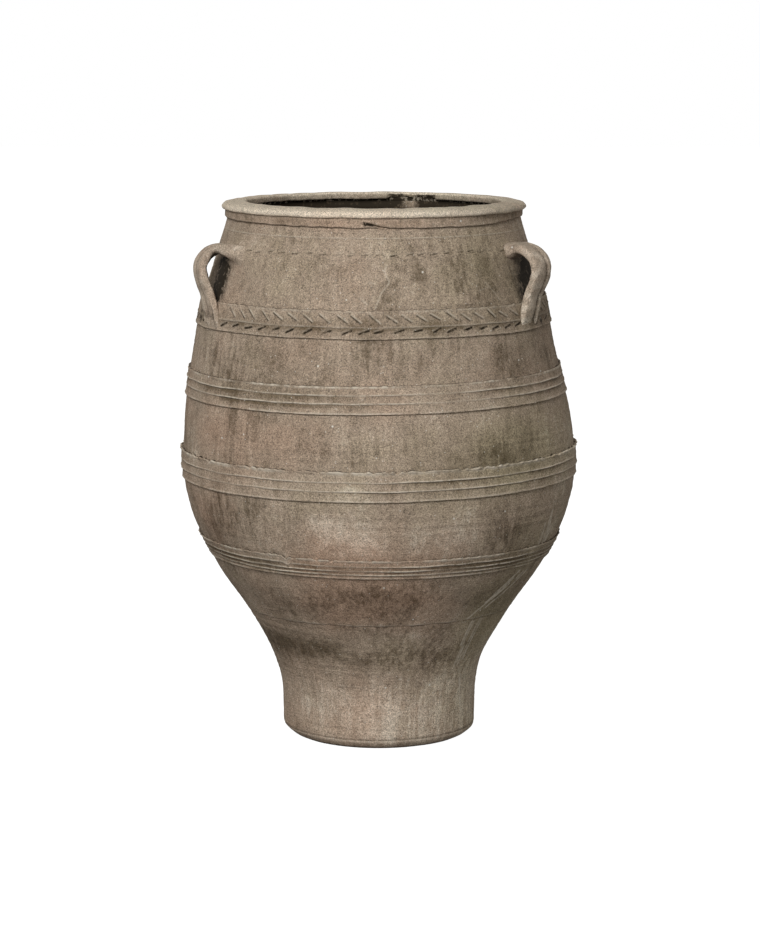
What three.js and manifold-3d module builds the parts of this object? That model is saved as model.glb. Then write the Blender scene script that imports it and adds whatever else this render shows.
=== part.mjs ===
// Large earthenware storage jar: a body thrown in sections, a broad rim, applied strips and
// three strap handles. Millimetres, +Z up, origin on the ground at the centre of the foot.
// The front of the jar faces -Y; azimuths are measured from the front towards +X.
import * as THREE from "three";
import { mergeVertices } from "three/addons/utils/BufferGeometryUtils.js";
import Module from "manifold-3d";

// ---- Driving dimensions -------------------------------------------------------------------

// Height of each section of the body, and its outer radius at mid-height and at its top.
const FOOT_SECTION = { height: 246, topRadius: 250 };
const LOWER_BELLY = { height: 116, midRadius: 292, topRadius: 325.5 };
const BELLY = { height: 158, midRadius: 355, topRadius: 364.5 };
const UPPER_BELLY = { height: 151, midRadius: 359.5, topRadius: 347 };
const SHOULDER = { height: 130, midRadius: 334, topRadius: 321.5 };
const NECK = { height: 170, midRadius: 295.5, topRadius: 269 };

const WALL = 23; // thickness of the fired wall, measured square to the surface
const FOOT_RADIUS = 179.5; // the foot is a plain cylinder before it flares
const FOOT_HEIGHT = 88;
const FLARE = { height: 72, widening: 23 }; // soft curve between the foot and the bowl
const FOOT_EDGE = { height: 18, width: 16 }; // worn edge where the foot meets the ground
const FLOOR_THICKNESS = 22;
const FLOOR_BEVEL = 12; // the floor disc widens upwards by this much
const JOINT_RISE = 8; // a joint between sections climbs this far from the outside to the inside
const NECK_LEAN = 9.5; // the mouth sits this far towards -X of the foot
const LEAN_RUN = 250; // the lean grows over this height above the girth

const RIM_HEIGHT = 29;
const RIM_OVERHANG = 13; // how far the rim stands out from the top of the neck
const RIM_TIP_DROP = 11; // depth of the widest line below the top of the rim
const RIM_UNDERCUT = 2; // depth of the hollow between the widest line and the collar
const LIP_INSET = 10; // how far the lip stands in from the wall of the neck
const LIP_HEIGHT = 14;
const COLLAR = { height: 21, proud: 6.5 };
const LIP_CHIP = { azimuth: 162, length: 100, height: 18, depth: 14 };

// Applied strips. Centre is measured from the joint that the strip covers.
const HERRINGBONE = { aboveJoint: 0, height: 50, proud: 3, ridges: 1, tilt: 1 };
const UPPER_STRIP = { aboveJoint: 0, height: 50, proud: 4, ridges: 3, tilt: 6 };
const BELLY_STRIP = { aboveJoint: 0, height: 55, proud: 3.2, ridges: 3, tilt: 8 };
const LOWER_STRIP = { aboveJoint: 2, height: 40, proud: 4, ridges: 3, tilt: -1.5 };

const STRIP_BACK = 6; // depth of the clay that is trimmed off a strip's back to fit the wall

const STRAP = { thickness: 18, groove: 0.2 };
const HANDLE_BEND = 35; // the strap is widest this far below its crest
const HANDLE_FOOT = { flare: 0.25, thinning: 0.45, landing: -4, lift: 6 };
// Drop is the depth of the crest below the top of the neck, reach how far the centre of the strap
// stands out from the wall, and sway how far the loop swings sideways, in degrees.
const HANDLES = [
  { name: "handle_left", azimuth: -62, width: 54, drop: 52, reach: 49, sway: -7 },
  { name: "handle_right", azimuth: 61, width: 61, drop: 45, reach: 59, sway: 0 },
  { name: "handle_back", azimuth: 180, width: 57, drop: 48, reach: 56, sway: 2 },
];

const GAP = 0.3; // clearance between pieces that rest on each other
const FACETS = 44; // sides of each round piece
const STEP = 36; // longest height of one ring of faces on the wall
const STRAP_STEPS = 20;
const STRAP_SIDES = 18;

// ---- Outline of the jar ---------------------------------------------------------------------

const SECTIONS = [FOOT_SECTION, LOWER_BELLY, BELLY, UPPER_BELLY, SHOULDER, NECK];
// Heights of the joints: joints[0] is the ground and the last is the top of the neck.
const joints = [0];
for (const section of SECTIONS) {
  joints.push(joints.at(-1) + section.height);
}
const [, footTop, lowerBellyTop, girth, upperBellyTop, shoulderTop, neckTop] = joints;
const jarTop = neckTop + RIM_HEIGHT;
const flareTop = FOOT_HEIGHT + FLARE.height;

// Heights and radii that the smooth outer outline passes through.
const stations = [
  [0, FOOT_RADIUS],
  [FOOT_HEIGHT, FOOT_RADIUS + 1],
  [flareTop, FOOT_RADIUS + FLARE.widening],
  [footTop, FOOT_SECTION.topRadius],
];
SECTIONS.slice(1).forEach(({ height, midRadius, topRadius }, i) => {
  stations.push([joints[i + 1] + height / 2, midRadius], [joints[i + 2], topRadius]);
});
const chords = stations.slice(1).map(([z, r], i) => (r - stations[i][1]) / (z - stations[i][0]));

// Slope of the outline at a station: the harmonic mean of its two chords, level at a turning point.
function stationSlope(i) {
  const below = chords[Math.max(i - 1, 0)];
  const above = chords[Math.min(i, chords.length - 1)];
  return below * above <= 0 ? 0 : (2 * below * above) / (below + above);
}

// Outer radius of the wall at a height, on a cubic curve through the stations.
function outerRadius(z) {
  const last = stations.length - 2;
  const next = stations.findIndex(([height]) => height > z);
  const i = next < 0 ? last : THREE.MathUtils.clamp(next - 1, 0, last);
  const [z0, r0] = stations[i];
  const [z1, r1] = stations[i + 1];
  const span = z1 - z0;
  const t = THREE.MathUtils.clamp((z - z0) / span, 0, 1);
  const rise = r1 - r0;
  const start = stationSlope(i) * span - rise;
  const end = stationSlope(i + 1) * span - rise;
  return r0 + rise * t + t * (1 - t) * (start * (1 - t) - end * t);
}

// Inner radius: the wall keeps its thickness where it slopes.
function innerRadius(z) {
  const slope = (outerRadius(z + 1) - outerRadius(z - 1)) / 2;
  return outerRadius(z) - WALL * Math.hypot(1, slope);
}

// Sideways lean of the jar's centre at a height.
function lean(z) {
  return -NECK_LEAN * THREE.MathUtils.smoothstep(z, girth, girth + LEAN_RUN);
}

// ---- Shaping helpers --------------------------------------------------------------------------

// Evenly spaced heights from one height to another, both included.
function heights(from, to) {
  const count = Math.max(1, Math.ceil(Math.abs(to - from) / STEP));
  return Array.from({ length: count + 1 }, (_, i) => from + ((to - from) * i) / count);
}

// Moves each vertex of a geometry to the point that the given function returns.
function reshape(geometry, move) {
  const position = geometry.attributes.position;
  const point = new THREE.Vector3();
  for (let i = 0; i < position.count; i += 1) {
    point.fromBufferAttribute(position, i);
    move(point);
    position.setXYZ(i, point.x, point.y, point.z);
  }
  geometry.computeVertexNormals();
  return geometry;
}

// A round piece from an outline of [radius, height] points that runs upwards on the outside and
// back down on the inside. It leans with the jar. A tilted piece rises by tilt from -X to +X and
// slides along the wall as it does.
function turned(outline, tilt = 0) {
  const closed = [...outline, outline[0]].map(([r, z]) => new THREE.Vector2(r, z));
  const geometry = new THREE.LatheGeometry(closed, FACETS).rotateX(Math.PI / 2);
  return reshape(geometry, (point) => {
    const radius = Math.hypot(point.x, point.y);
    if (radius > 0) {
      const z = point.z + ((tilt / 2) * point.x) / radius;
      const scale = 1 + (outerRadius(z) - outerRadius(point.z)) / radius;
      point.set(point.x * scale, point.y * scale, z);
    }
    point.x += lean(point.z);
  });
}

const wasm = await Module();
wasm.setup();

// A closed geometry as a solid that can be cut.
function solid(geometry) {
  const bare = geometry.clone();
  bare.deleteAttribute("normal");
  bare.deleteAttribute("uv");
  const merged = mergeVertices(bare, 1e-3);
  return new wasm.Manifold(
    new wasm.Mesh({
      numProp: 3,
      vertProperties: merged.attributes.position.array,
      triVerts: new Uint32Array(merged.index.array),
    }),
  );
}

// The first geometry with the second one cut away.
function cut(geometry, tool) {
  const mesh = solid(geometry).subtract(solid(tool)).getMesh();
  const made = new THREE.BufferGeometry();
  made.setAttribute("position", new THREE.BufferAttribute(mesh.vertProperties, 3));
  made.setIndex(new THREE.BufferAttribute(mesh.triVerts, 1));
  made.computeVertexNormals();
  return made;
}

// ---- Body ---------------------------------------------------------------------------------------

const wallPoints = (from, to) => heights(from, to).map((z) => [outerRadius(z), z]);
const innerPoints = (from, to) => heights(from, to).map((z) => [innerRadius(z), z]);

// The space inside the finished wall and a clearance around it, which applied pieces keep out of.
const wallClearance = turned([
  [0, 0],
  ...joints.slice(1).flatMap((top, i) => wallPoints(joints[i] + GAP, top)).map(([r, z]) => [r + GAP, z]),
  [0, neckTop],
]);

const floorTopRadius = innerRadius(FLOOR_THICKNESS);
const floorBottomRadius = floorTopRadius - FLOOR_BEVEL;

// The round disc that closes the bottom.
function floorSlab() {
  return turned([
    [0, 0],
    [floorBottomRadius, 0],
    [floorTopRadius, FLOOR_THICKNESS],
    [0, FLOOR_THICKNESS],
  ]);
}

// The foot: round ground edge, straight side, flare, and a bevelled seat for the floor.
function footSection() {
  const edge = [0, 0.33, 0.67].map((t) => [
    FOOT_RADIUS - FOOT_EDGE.width * (1 - t) ** 1.4,
    FOOT_EDGE.height * t,
  ]);
  return turned([
    ...edge,
    ...wallPoints(FOOT_EDGE.height, footTop),
    ...innerPoints(footTop + JOINT_RISE, FLOOR_THICKNESS + FLOOR_BEVEL),
    [floorTopRadius + GAP, FLOOR_THICKNESS],
    [floorBottomRadius + GAP, 0],
  ]);
}

// A section between two joints, with a bevelled seat below and above.
function wallSection(bottom, top) {
  return turned([
    ...wallPoints(bottom + GAP, top),
    ...innerPoints(top + JOINT_RISE, bottom + JOINT_RISE + GAP),
  ]);
}

// The thick rim: collar seat, hollow, widest line, nearly level top and overhanging lip.
function rim() {
  const wall = outerRadius(neckTop);
  const inner = innerRadius(neckTop);
  const tip = jarTop - RIM_TIP_DROP;
  const hollow = tip - RIM_UNDERCUT;
  const lipFoot = jarTop - LIP_HEIGHT;
  const mouth = inner - LIP_INSET;
  const ring = turned([
    [wall, neckTop + GAP],
    [wall, hollow],
    [wall + RIM_OVERHANG / 2, hollow],
    [wall + RIM_OVERHANG, tip],
    [wall + RIM_OVERHANG * 0.8, tip + RIM_TIP_DROP * 0.55],
    [wall + RIM_OVERHANG * 0.2, jarTop - 1.5],
    [mouth + 4, jarTop],
    [mouth, jarTop - 3],
    [mouth, lipFoot + 2],
    [mouth + 3, lipFoot],
    [inner, lipFoot - 1],
    [inner, neckTop + JOINT_RISE + GAP],
  ]);
  const chip = new THREE.SphereGeometry(1, 16, 8);
  chip.scale(LIP_CHIP.length / 2, LIP_CHIP.depth, LIP_CHIP.height / 2);
  chip.translate(0, -mouth, jarTop - LIP_HEIGHT / 2);
  chip.rotateZ(THREE.MathUtils.degToRad(LIP_CHIP.azimuth));
  chip.translate(lean(jarTop), 0, 0);
  return cut(ring, chip);
}

// The strip pressed into the corner under the rim.
function rimCollar() {
  const top = jarTop - RIM_TIP_DROP - RIM_UNDERCUT - GAP;
  const bottom = top - COLLAR.height;
  const seat = (z) => outerRadius(Math.min(z, neckTop)) + GAP;
  return turned([
    [seat(bottom) + COLLAR.proud * 0.5, bottom],
    [seat(bottom) + COLLAR.proud * 0.9, bottom + 3],
    [seat(top) + COLLAR.proud, top - 4],
    [seat(top) + COLLAR.proud * 0.6, top],
    [seat(top), top],
    [seat(neckTop), neckTop],
    [seat(bottom), bottom],
  ]);
}

// ---- Applied strips ---------------------------------------------------------------------------

// Outline of a strip over a joint: ridges with shallow valleys between, and a back inside the wall.
// The margin makes it larger all round, as the space that another piece keeps clear of.
function stripOutline(joint, strip, margin = 0) {
  const height = strip.height + 2 * margin;
  const middle = joint + strip.aboveJoint;
  const bottom = middle - height / 2;
  const folds = strip.ridges * 2; // every ridge has a crest, with a valley before the next
  const face = [[0.35, 0]];
  for (let i = 1; i < folds; i += 1) {
    face.push([i % 2 ? 1 : 0.65, i / folds]);
  }
  face.push([0.3, 1]);
  return [
    ...face.map(([proud, along]) => {
      const z = bottom + height * along;
      return [outerRadius(z) + GAP + strip.proud * proud + margin, z];
    }),
    ...[bottom + height, middle, bottom].map((z) => [outerRadius(z) - STRIP_BACK, z]),
  ];
}

// A strip fitted to the wall it lies on.
function appliedStrip(joint, strip) {
  return cut(turned(stripOutline(joint, strip), strip.tilt), wallClearance);
}

// ---- Handles --------------------------------------------------------------------------------------

// Section of the strap: two rolls side by side. X is the thickness, Y the width.
function strapSection(width) {
  const points = [];
  for (let i = 0; i < STRAP_SIDES; i += 1) {
    const a = (i / STRAP_SIDES) * 2 * Math.PI;
    const y = (width / 2) * Math.cos(a);
    const groove = 1 - STRAP.groove * Math.exp(-((y / 6) ** 2));
    const roll = Math.sign(Math.sin(a)) * Math.abs(Math.sin(a)) ** 0.5;
    points.push(new THREE.Vector2((STRAP.thickness / 2) * roll * groove, y));
  }
  return new THREE.Shape(points.reverse());
}

// Centre line of a strap in its own upright plane: X is the distance from the axis. It rises a
// little from the neck, turns over its crest and comes straight down to the herringbone strip.
function strapPath({ drop, reach }) {
  const crest = neckTop - drop;
  const wall = outerRadius(crest);
  const landing = shoulderTop + HERRINGBONE.height / 2 + HANDLE_FOOT.landing;
  const end = shoulderTop - HERRINGBONE.height / 2 + 3;
  const point = (r, z) => new THREE.Vector3(r, 0, z);
  const widest = point(wall + reach, crest - HANDLE_BEND);
  const landed = point(outerRadius(landing) + HANDLE_FOOT.lift, landing);
  return new THREE.CatmullRomCurve3([
    point(wall - STRAP.thickness * 0.6, crest - STRAP.thickness),
    point(wall + reach * 0.12, crest - STRAP.thickness * 0.25),
    point(wall + reach * 0.42, crest),
    point(wall + reach * 0.88, crest - HANDLE_BEND * 0.35),
    widest,
    widest.clone().lerp(landed, 0.4),
    landed,
    point(outerRadius(shoulderTop) + HANDLE_FOOT.lift, shoulderTop),
    point(outerRadius(end) + HANDLE_FOOT.lift * 0.7, end),
  ]);
}

// A strap bent along its path, wider and thinner at its foot, then fitted to the jar.
function handle(shape) {
  const path = strapPath(shape);
  const side = new THREE.Vector3(0, 1, 0);
  const strap = new THREE.ExtrudeGeometry(strapSection(shape.width), {
    depth: 1,
    steps: STRAP_STEPS,
    bevelEnabled: false,
  });
  const upright = new THREE.Vector3(0, 0, 1);
  reshape(strap, (point) => {
    const along = THREE.MathUtils.clamp(point.z, 0, 1);
    const foot = THREE.MathUtils.smoothstep(along, 0.62, 1);
    const outwards = path.getTangentAt(along).cross(side);
    const thickness = point.x * (1 - HANDLE_FOOT.thinning * foot);
    const width = point.y * (1 + HANDLE_FOOT.flare * foot);
    point.copy(path.getPointAt(along));
    point.addScaledVector(outwards, -thickness);
    point.addScaledVector(side, width);
    const swing = shape.sway * Math.sin(Math.PI * Math.min(1, along / 0.9));
    point.applyAxisAngle(upright, THREE.MathUtils.degToRad(shape.azimuth - 90 + swing));
    point.x += lean(point.z);
  });
  const stripClearance = turned(stripOutline(shoulderTop, HERRINGBONE, GAP), HERRINGBONE.tilt);
  return cut(cut(strap, wallClearance), stripClearance);
}

// ---- The jar ----------------------------------------------------------------------------------------

const jar = new THREE.Group();

// Adds one named piece in its own fired-clay colour.
function addPiece(name, geometry, color, roughness = 0.92) {
  const material = new THREE.MeshStandardMaterial({ color, roughness, metalness: 0 });
  const mesh = new THREE.Mesh(geometry, material);
  mesh.name = name;
  jar.add(mesh);
}

addPiece("floor_slab", floorSlab(), 0x9c8f7d);
addPiece("foot_section", footSection(), 0xab9c86);
addPiece("lower_belly_section", wallSection(footTop, lowerBellyTop), 0x93846f);
addPiece("belly_section", wallSection(lowerBellyTop, girth), 0x9d8f7b);
addPiece("upper_belly_section", wallSection(girth, upperBellyTop), 0xa09380);
addPiece("shoulder_section", wallSection(upperBellyTop, shoulderTop), 0x9b8e7b);
addPiece("neck_section", wallSection(shoulderTop, neckTop), 0x9c8d7c);
addPiece("rim", rim(), 0xb5a897, 0.9);
addPiece("rim_collar", rimCollar(), 0xa18f7e);
addPiece("herringbone_band", appliedStrip(shoulderTop, HERRINGBONE), 0xa1937e);
addPiece("upper_band", appliedStrip(upperBellyTop, UPPER_STRIP), 0xa39682);
addPiece("belly_band", appliedStrip(girth, BELLY_STRIP), 0xa59884);
addPiece("lower_band", appliedStrip(lowerBellyTop, LOWER_STRIP), 0x9d8f7a);

for (const shape of HANDLES) {
  addPiece(shape.name, handle(shape), 0xa09282);
}

export default jar;
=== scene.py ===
"""A large three-handled storage jar of weathered earthenware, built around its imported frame.

The jar stands on the origin with +Z up and its front towards -Y. Shapes are worked in millimetres and
in jar coordinates: azimuth from the front, positive to the right (+X), height above the ground, and
standoff, the distance out from the skin of the wall. A piece becomes metres when its mesh is placed.
"""

import logging
import math
from dataclasses import dataclass, replace
from enum import Enum
from typing import Any, Sequence

import bmesh
import bpy
import numpy as np
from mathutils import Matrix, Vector

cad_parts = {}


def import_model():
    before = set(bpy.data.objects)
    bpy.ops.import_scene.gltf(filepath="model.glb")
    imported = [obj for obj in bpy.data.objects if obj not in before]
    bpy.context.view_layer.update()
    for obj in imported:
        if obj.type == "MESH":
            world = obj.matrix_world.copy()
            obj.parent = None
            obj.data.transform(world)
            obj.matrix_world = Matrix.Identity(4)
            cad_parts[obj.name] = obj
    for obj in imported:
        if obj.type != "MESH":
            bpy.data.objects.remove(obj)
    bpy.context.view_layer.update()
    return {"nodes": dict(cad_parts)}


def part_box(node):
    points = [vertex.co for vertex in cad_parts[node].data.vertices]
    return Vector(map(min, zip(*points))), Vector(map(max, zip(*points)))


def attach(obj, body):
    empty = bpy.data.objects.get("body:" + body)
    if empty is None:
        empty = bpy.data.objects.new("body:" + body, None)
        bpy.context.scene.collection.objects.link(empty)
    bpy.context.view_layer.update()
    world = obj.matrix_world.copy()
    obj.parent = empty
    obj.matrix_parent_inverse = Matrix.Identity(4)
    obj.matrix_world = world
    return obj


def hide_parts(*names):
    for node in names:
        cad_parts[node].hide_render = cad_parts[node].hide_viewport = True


LOG = logging.getLogger("storage_jar")

MM = 0.001
STRAIGHT_RADIUS = 300.0  # rings are spun round this radius, then laid on the jar
BODY = "root"

Row = np.ndarray  # one number, or one point, for each place it describes
Pair = tuple[float, float]
Outline = list[Pair]  # (standoff, height) round a closed section
Mesh = bpy.types.Mesh
Piece = bpy.types.Object
Tree = bpy.types.NodeTree
Socket = bpy.types.NodeSocket


class Slot(Enum):
    """The record's material slots."""

    BODY_CLAY = "weathered_clay"
    FOOT_CLAY = "foot_clay"
    RIM_CLAY = "pale_clay"
    STRIP_CLAY = "strip_clay"
    HANDLE_CLAY = "handle_clay"
    INNER_CLAY = "inner_clay"


# ---- Waviness and marks ---------------------------------------------------------------------


class Ripple:
    """Smooth seeded waviness over azimuth and height, with a mean of nought and a deviation of one."""

    def __init__(self, seed: int, turns: Pair, rises: Pair, waves: int = 22) -> None:
        """Draw the waves.

        Args:
            seed: Seed of the draw.
            turns: Least and most whole waves round the jar.
            rises: Shortest and longest height of a wave, in mm.
            waves: How many waves are added up.
        """
        draw = np.random.default_rng(seed)
        self.turns = draw.integers(turns[0], turns[1] + 1, waves)
        self.rises = 2 * math.pi / draw.uniform(rises[0], rises[1], waves) * draw.choice([-1, 1], waves)
        self.phases = draw.uniform(0, 2 * math.pi, waves)

    def __call__(self, azimuth: Row, height: Row | float = 0.0) -> Row:
        """Value of the waviness.

        Args:
            azimuth: Azimuths in radians.
            height: Heights in mm.

        Returns:
            One value for each azimuth.
        """
        total = np.zeros_like(azimuth)
        for turn, rise, phase in zip(self.turns, self.rises, self.phases):
            total += np.cos(turn * azimuth + rise * height + phase)
        return total / math.sqrt(len(self.phases) / 2)


def wrapped(angle: Row) -> Row:
    """Angles in radians brought to between minus and plus half a turn."""
    return (angle + math.pi) % (2 * math.pi) - math.pi


def bell(distance: Row, width: float) -> Row:
    """A soft hump of height one that falls off over the width."""
    return np.exp(-((distance / width) ** 2))


def ramp(value: Row, low: float, high: float) -> Row:
    """A smooth step from nought at low to one at high, which may be the lower of the two."""
    share = np.clip((value - low) / (high - low), 0, 1)
    return share * share * (3 - 2 * share)


@dataclass(frozen=True)
class Patch:
    """A soft-edged area of the jar: a hollow or swelling of the wall, or a dark or pale area of clay."""

    azimuth: float  # degrees
    height: float
    across: float  # degrees from the middle to where it has faded to a third
    tall: float
    amount: float

    def over(self, azimuth: Row, height: Row) -> Row:
        """What the patch adds at each point.

        Args:
            azimuth: Azimuths in radians.
            height: Heights in mm.

        Returns:
            The amount, faded by the distance from the middle.
        """
        turned = wrapped(azimuth - math.radians(self.azimuth))
        beside = bell(turned, math.radians(self.across))
        return self.amount * beside * bell(height - self.height, self.tall)


def patches(*rows: tuple[float, ...]) -> tuple[Patch, ...]:
    """Patches from rows of azimuth, height, breadth, tallness and amount."""
    return tuple(Patch(*row) for row in rows)


def added(areas: tuple[Patch, ...], azimuth: Row, height: Row) -> Row:
    """What several patches add together at each point."""
    return sum(area.over(azimuth, height) for area in areas)


# Where the hand-built wall leaves its smooth outline, in mm.
HOLLOWS = patches(
    (-88, 362, 35, 26, -3.2), (88, 150, 45, 30, -4.0), (-88, 469, 40, 22, 1.6), (88, 469, 40, 22, 1.6),
    (-80, 4, 40, 10, -5.0), (60, 796, 7, 30, 4.0), (-63, 796, 6, 30, 4.0), (180, 800, 7, 32, 4.0),
    (60, 916, 8.5, 17, 9.0), (-58.5, 911, 8.5, 17, 9.0), (180, 913, 8.5, 17, 9.0),
)

# Darker areas of clay are below nought and paler ones above it: mostly stains, and some painted shade,
# such as the darker patches towards the right and the band on the collar under the rim.
TONES = patches(
    (5, 300, 16, 40, -0.7), (-52, 190, 30, 28, -1.1), (5, 176, 30, 24, -0.7), (3, 440, 6, 30, -0.4),
    (0, 420, 22, 40, 0.45), (-55, 430, 13, 60, -0.48), (42, 430, 10, 50, -0.65),
    (-45, 670, 40, 24, -0.4), (-45, 600, 18, 50, -0.25), (0, 730, 200, 50, -0.3),
    (0, 800, 300, 22, -0.5), (0, 365, 300, 13, -0.55), (45, 880, 18, 60, -0.35), (0, 70, 70, 60, 0.6),
    (68, 110, 18, 110, 0.6), (68, 550, 12, 160, 0.4), (76, 955, 10, 22, 0.6), (-7, 512, 5, 14, 0.5),
    (-16, 445, 5, 32, 0.5), (25, 440, 6, 45, 0.45), (-38, 250, 12, 30, -0.3), (10, 235, 20, 14, -0.25),
    (-35, 290, 16, 28, -0.35), (37, 565, 15, 42, -0.8), (50, 715, 16, 40, -0.25),
    (45, 290, 15, 40, -0.3), (60, 992, 35, 16, -0.5), (0, 976, 300, 7, -0.35),
    (0, 890, 300, 60, -0.12),
)

# Redder clay is below nought and a greenish bloom above it.
HUES = patches(
    (45, 570, 30, 70, 1.2), (55, 250, 25, 130, 1.2), (45, 900, 25, 70, 0.8), (-6, 370, 24, 60, -1.2),
    (0, 290, 45, 50, -0.9), (-60, 450, 16, 60, -0.7), (-45, 600, 30, 60, -0.6),
    (-10, 80, 40, 60, -0.4), (-10, 975, 60, 14, -0.6),
)

# The patch of the inner wall under the broken lip, where the painted shade of the inside is lifted as a
# painted pool of light that comes through the gap.
CHIP_LIGHT = Patch(164, 978, 4.6, 26, 1.0)

# Painted shade, near black, where shade falls on the neck behind the handles and in the finger dents at
# their feet.
SHADES = patches(
    (-66.5, 884, 5.0, 20, 4.0), (-66.5, 860, 4.8, 18, 4.0), (-65.5, 838, 4.0, 15, 3.5),
    (-64.5, 820, 2.6, 10, 2.0), (72, 888, 7.0, 19, 4.0), (67, 864, 6.0, 17, 4.0),
    (63.5, 840, 4.8, 14, 3.0), (180, 880, 6.0, 26, 2.0), (62.8, 793, 1.6, 7, 2.2),
    (69, 786, 1.4, 6, 1.6), (-75.5, 803, 1.5, 5, 1.8), (-75, 788, 1.8, 5, 1.8),
)


@dataclass
class Skin:
    """The points of a ring while its clay is being worked. Lengths are in mm and angles in radians."""

    azimuth: Row
    standoff: Row
    height: Row
    outside: Row  # true on the face that shows
    edge: Row  # how much paler the clay is: rubbed wear, and painted highlight on crests and edges
    soil: Row  # how much darker the clay is: dirt, and painted shade in hollows, under edges and behind the handles
    tone: Row  # darker below nought, paler above

    @classmethod
    def of(cls, mesh: Mesh, shown_above: float) -> "Skin":
        """Read a ring that was spun round the straight radius.

        Args:
            mesh: The spun mesh, in mm.
            shown_above: The standoff above which a point is on the outside.

        Returns:
            The ring's points in jar coordinates.
        """
        x, y, z = corners(mesh).T
        azimuth = np.arctan2(x, -y)
        coarse = 2 * math.pi / Potter.TURNS
        from_middle = azimuth % coarse - coarse / 2
        standoff = np.hypot(x, y) * np.cos(from_middle) / math.cos(coarse / 2) - STRAIGHT_RADIUS
        blank = [np.zeros(len(x)) for _ in range(3)]
        return cls(azimuth, standoff, z.copy(), standoff > shown_above, *blank)

    def press(self, amount: Row) -> None:
        """Move the outside out by an amount for each point, or in where it is below nought."""
        self.standoff += np.where(self.outside, amount, 0)

    def make_paler(self, amount: Row) -> None:
        """Make the clay paler where it isn't paler already: rubbed wear, and painted highlight on crests
        and edges.
        """
        self.edge = np.maximum(self.edge, amount)

    def darken(self, amount: Row) -> None:
        """Darken the clay where it isn't darker already: dirt, and painted shade in hollows, under edges
        and behind the handles.
        """
        self.soil = np.maximum(self.soil, amount)


@dataclass(frozen=True)
class Cut:
    """A stroke cut in the clay between two points, each an azimuth in degrees and a height in mm."""

    start: Pair
    end: Pair
    width: float = 1.6
    depth: float = 1.2
    burr: float = 0.0
    darkening: float = 0.7
    pale: float = 0.0

    def carve(self, skin: Skin, radius: float) -> None:
        """Cut the stroke in a ring.

        Args:
            skin: The ring.
            radius: Radius of the wall there, which turns degrees into lengths.
        """
        middle = math.radians((self.start[0] + self.end[0]) / 2)
        run = math.radians(self.end[0] - self.start[0]) * radius
        rise = self.end[1] - self.start[1]
        length = math.hypot(run, rise)
        arc = wrapped(skin.azimuth - middle) * radius
        lift = skin.height - (self.start[1] + self.end[1]) / 2
        reach = length / 2 + 4 * self.width
        near = np.flatnonzero(skin.outside & (np.abs(arc) < reach) & (np.abs(lift) < reach))
        along = (arc[near] * run + lift[near] * rise) / length
        across = (lift[near] * run - arc[near] * rise) / length
        beyond = np.maximum(np.abs(along) - length / 2, 0)
        groove = bell(np.hypot(across, beyond), self.width / 2)
        thrown = bell(np.hypot(across - 1.1 * self.width, beyond), 0.6 * self.width)
        skin.standoff[near] += self.burr * thrown - self.depth * groove
        skin.soil[near] = np.maximum(skin.soil[near], self.darkening * groove)
        skin.edge[near] = np.maximum(skin.edge[near], self.pale * thrown)


# ---- Meshes ---------------------------------------------------------------------------------


def corners(mesh: Mesh) -> Row:
    """Read the points of a mesh.

    Args:
        mesh: The mesh.

    Returns:
        A row of x, y and z for each point.
    """
    points = np.empty(len(mesh.vertices) * 3)
    mesh.vertices.foreach_get("co", points)
    return points.reshape(-1, 3)


def baked(shape: bmesh.types.BMesh, name: str) -> Mesh:
    """Turn a shape's faces outwards, write it to a new mesh and free it.

    Args:
        shape: The shape.
        name: The mesh's name.

    Returns:
        The mesh.
    """
    bmesh.ops.recalc_face_normals(shape, faces=shape.faces)
    mesh = bpy.data.meshes.new(name)
    shape.to_mesh(mesh)
    shape.free()
    return mesh


def paint(mesh: Mesh, **layers: Row) -> None:
    """Store numbers for a mesh's points under the names that the clays read.

    Args:
        mesh: The mesh.
        layers: One number for each point, under each name.
    """
    for name, values in layers.items():
        layer = mesh.attributes.new(name, "FLOAT", "POINT")
        layer.data.foreach_set("value", values.astype(np.float32))


# ---- The form of the wall -------------------------------------------------------------------


def softened(values: Row, spread: float) -> Row:
    """A row of numbers smoothed by a bell, with the slope at each end kept.

    Args:
        values: Evenly spaced numbers.
        spread: Spread of the bell, in spacings.

    Returns:
        As many smoothed numbers.
    """
    reach = int(4 * spread) + 1
    before = 2 * values[0] - values[reach:0:-1]
    after = 2 * values[-1] - values[-2 : -reach - 2 : -1]
    weights = bell(np.arange(-reach, reach + 1), spread * math.sqrt(2))
    return np.convolve(np.concatenate([before, values, after]), weights / weights.sum(), "valid")


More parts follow.
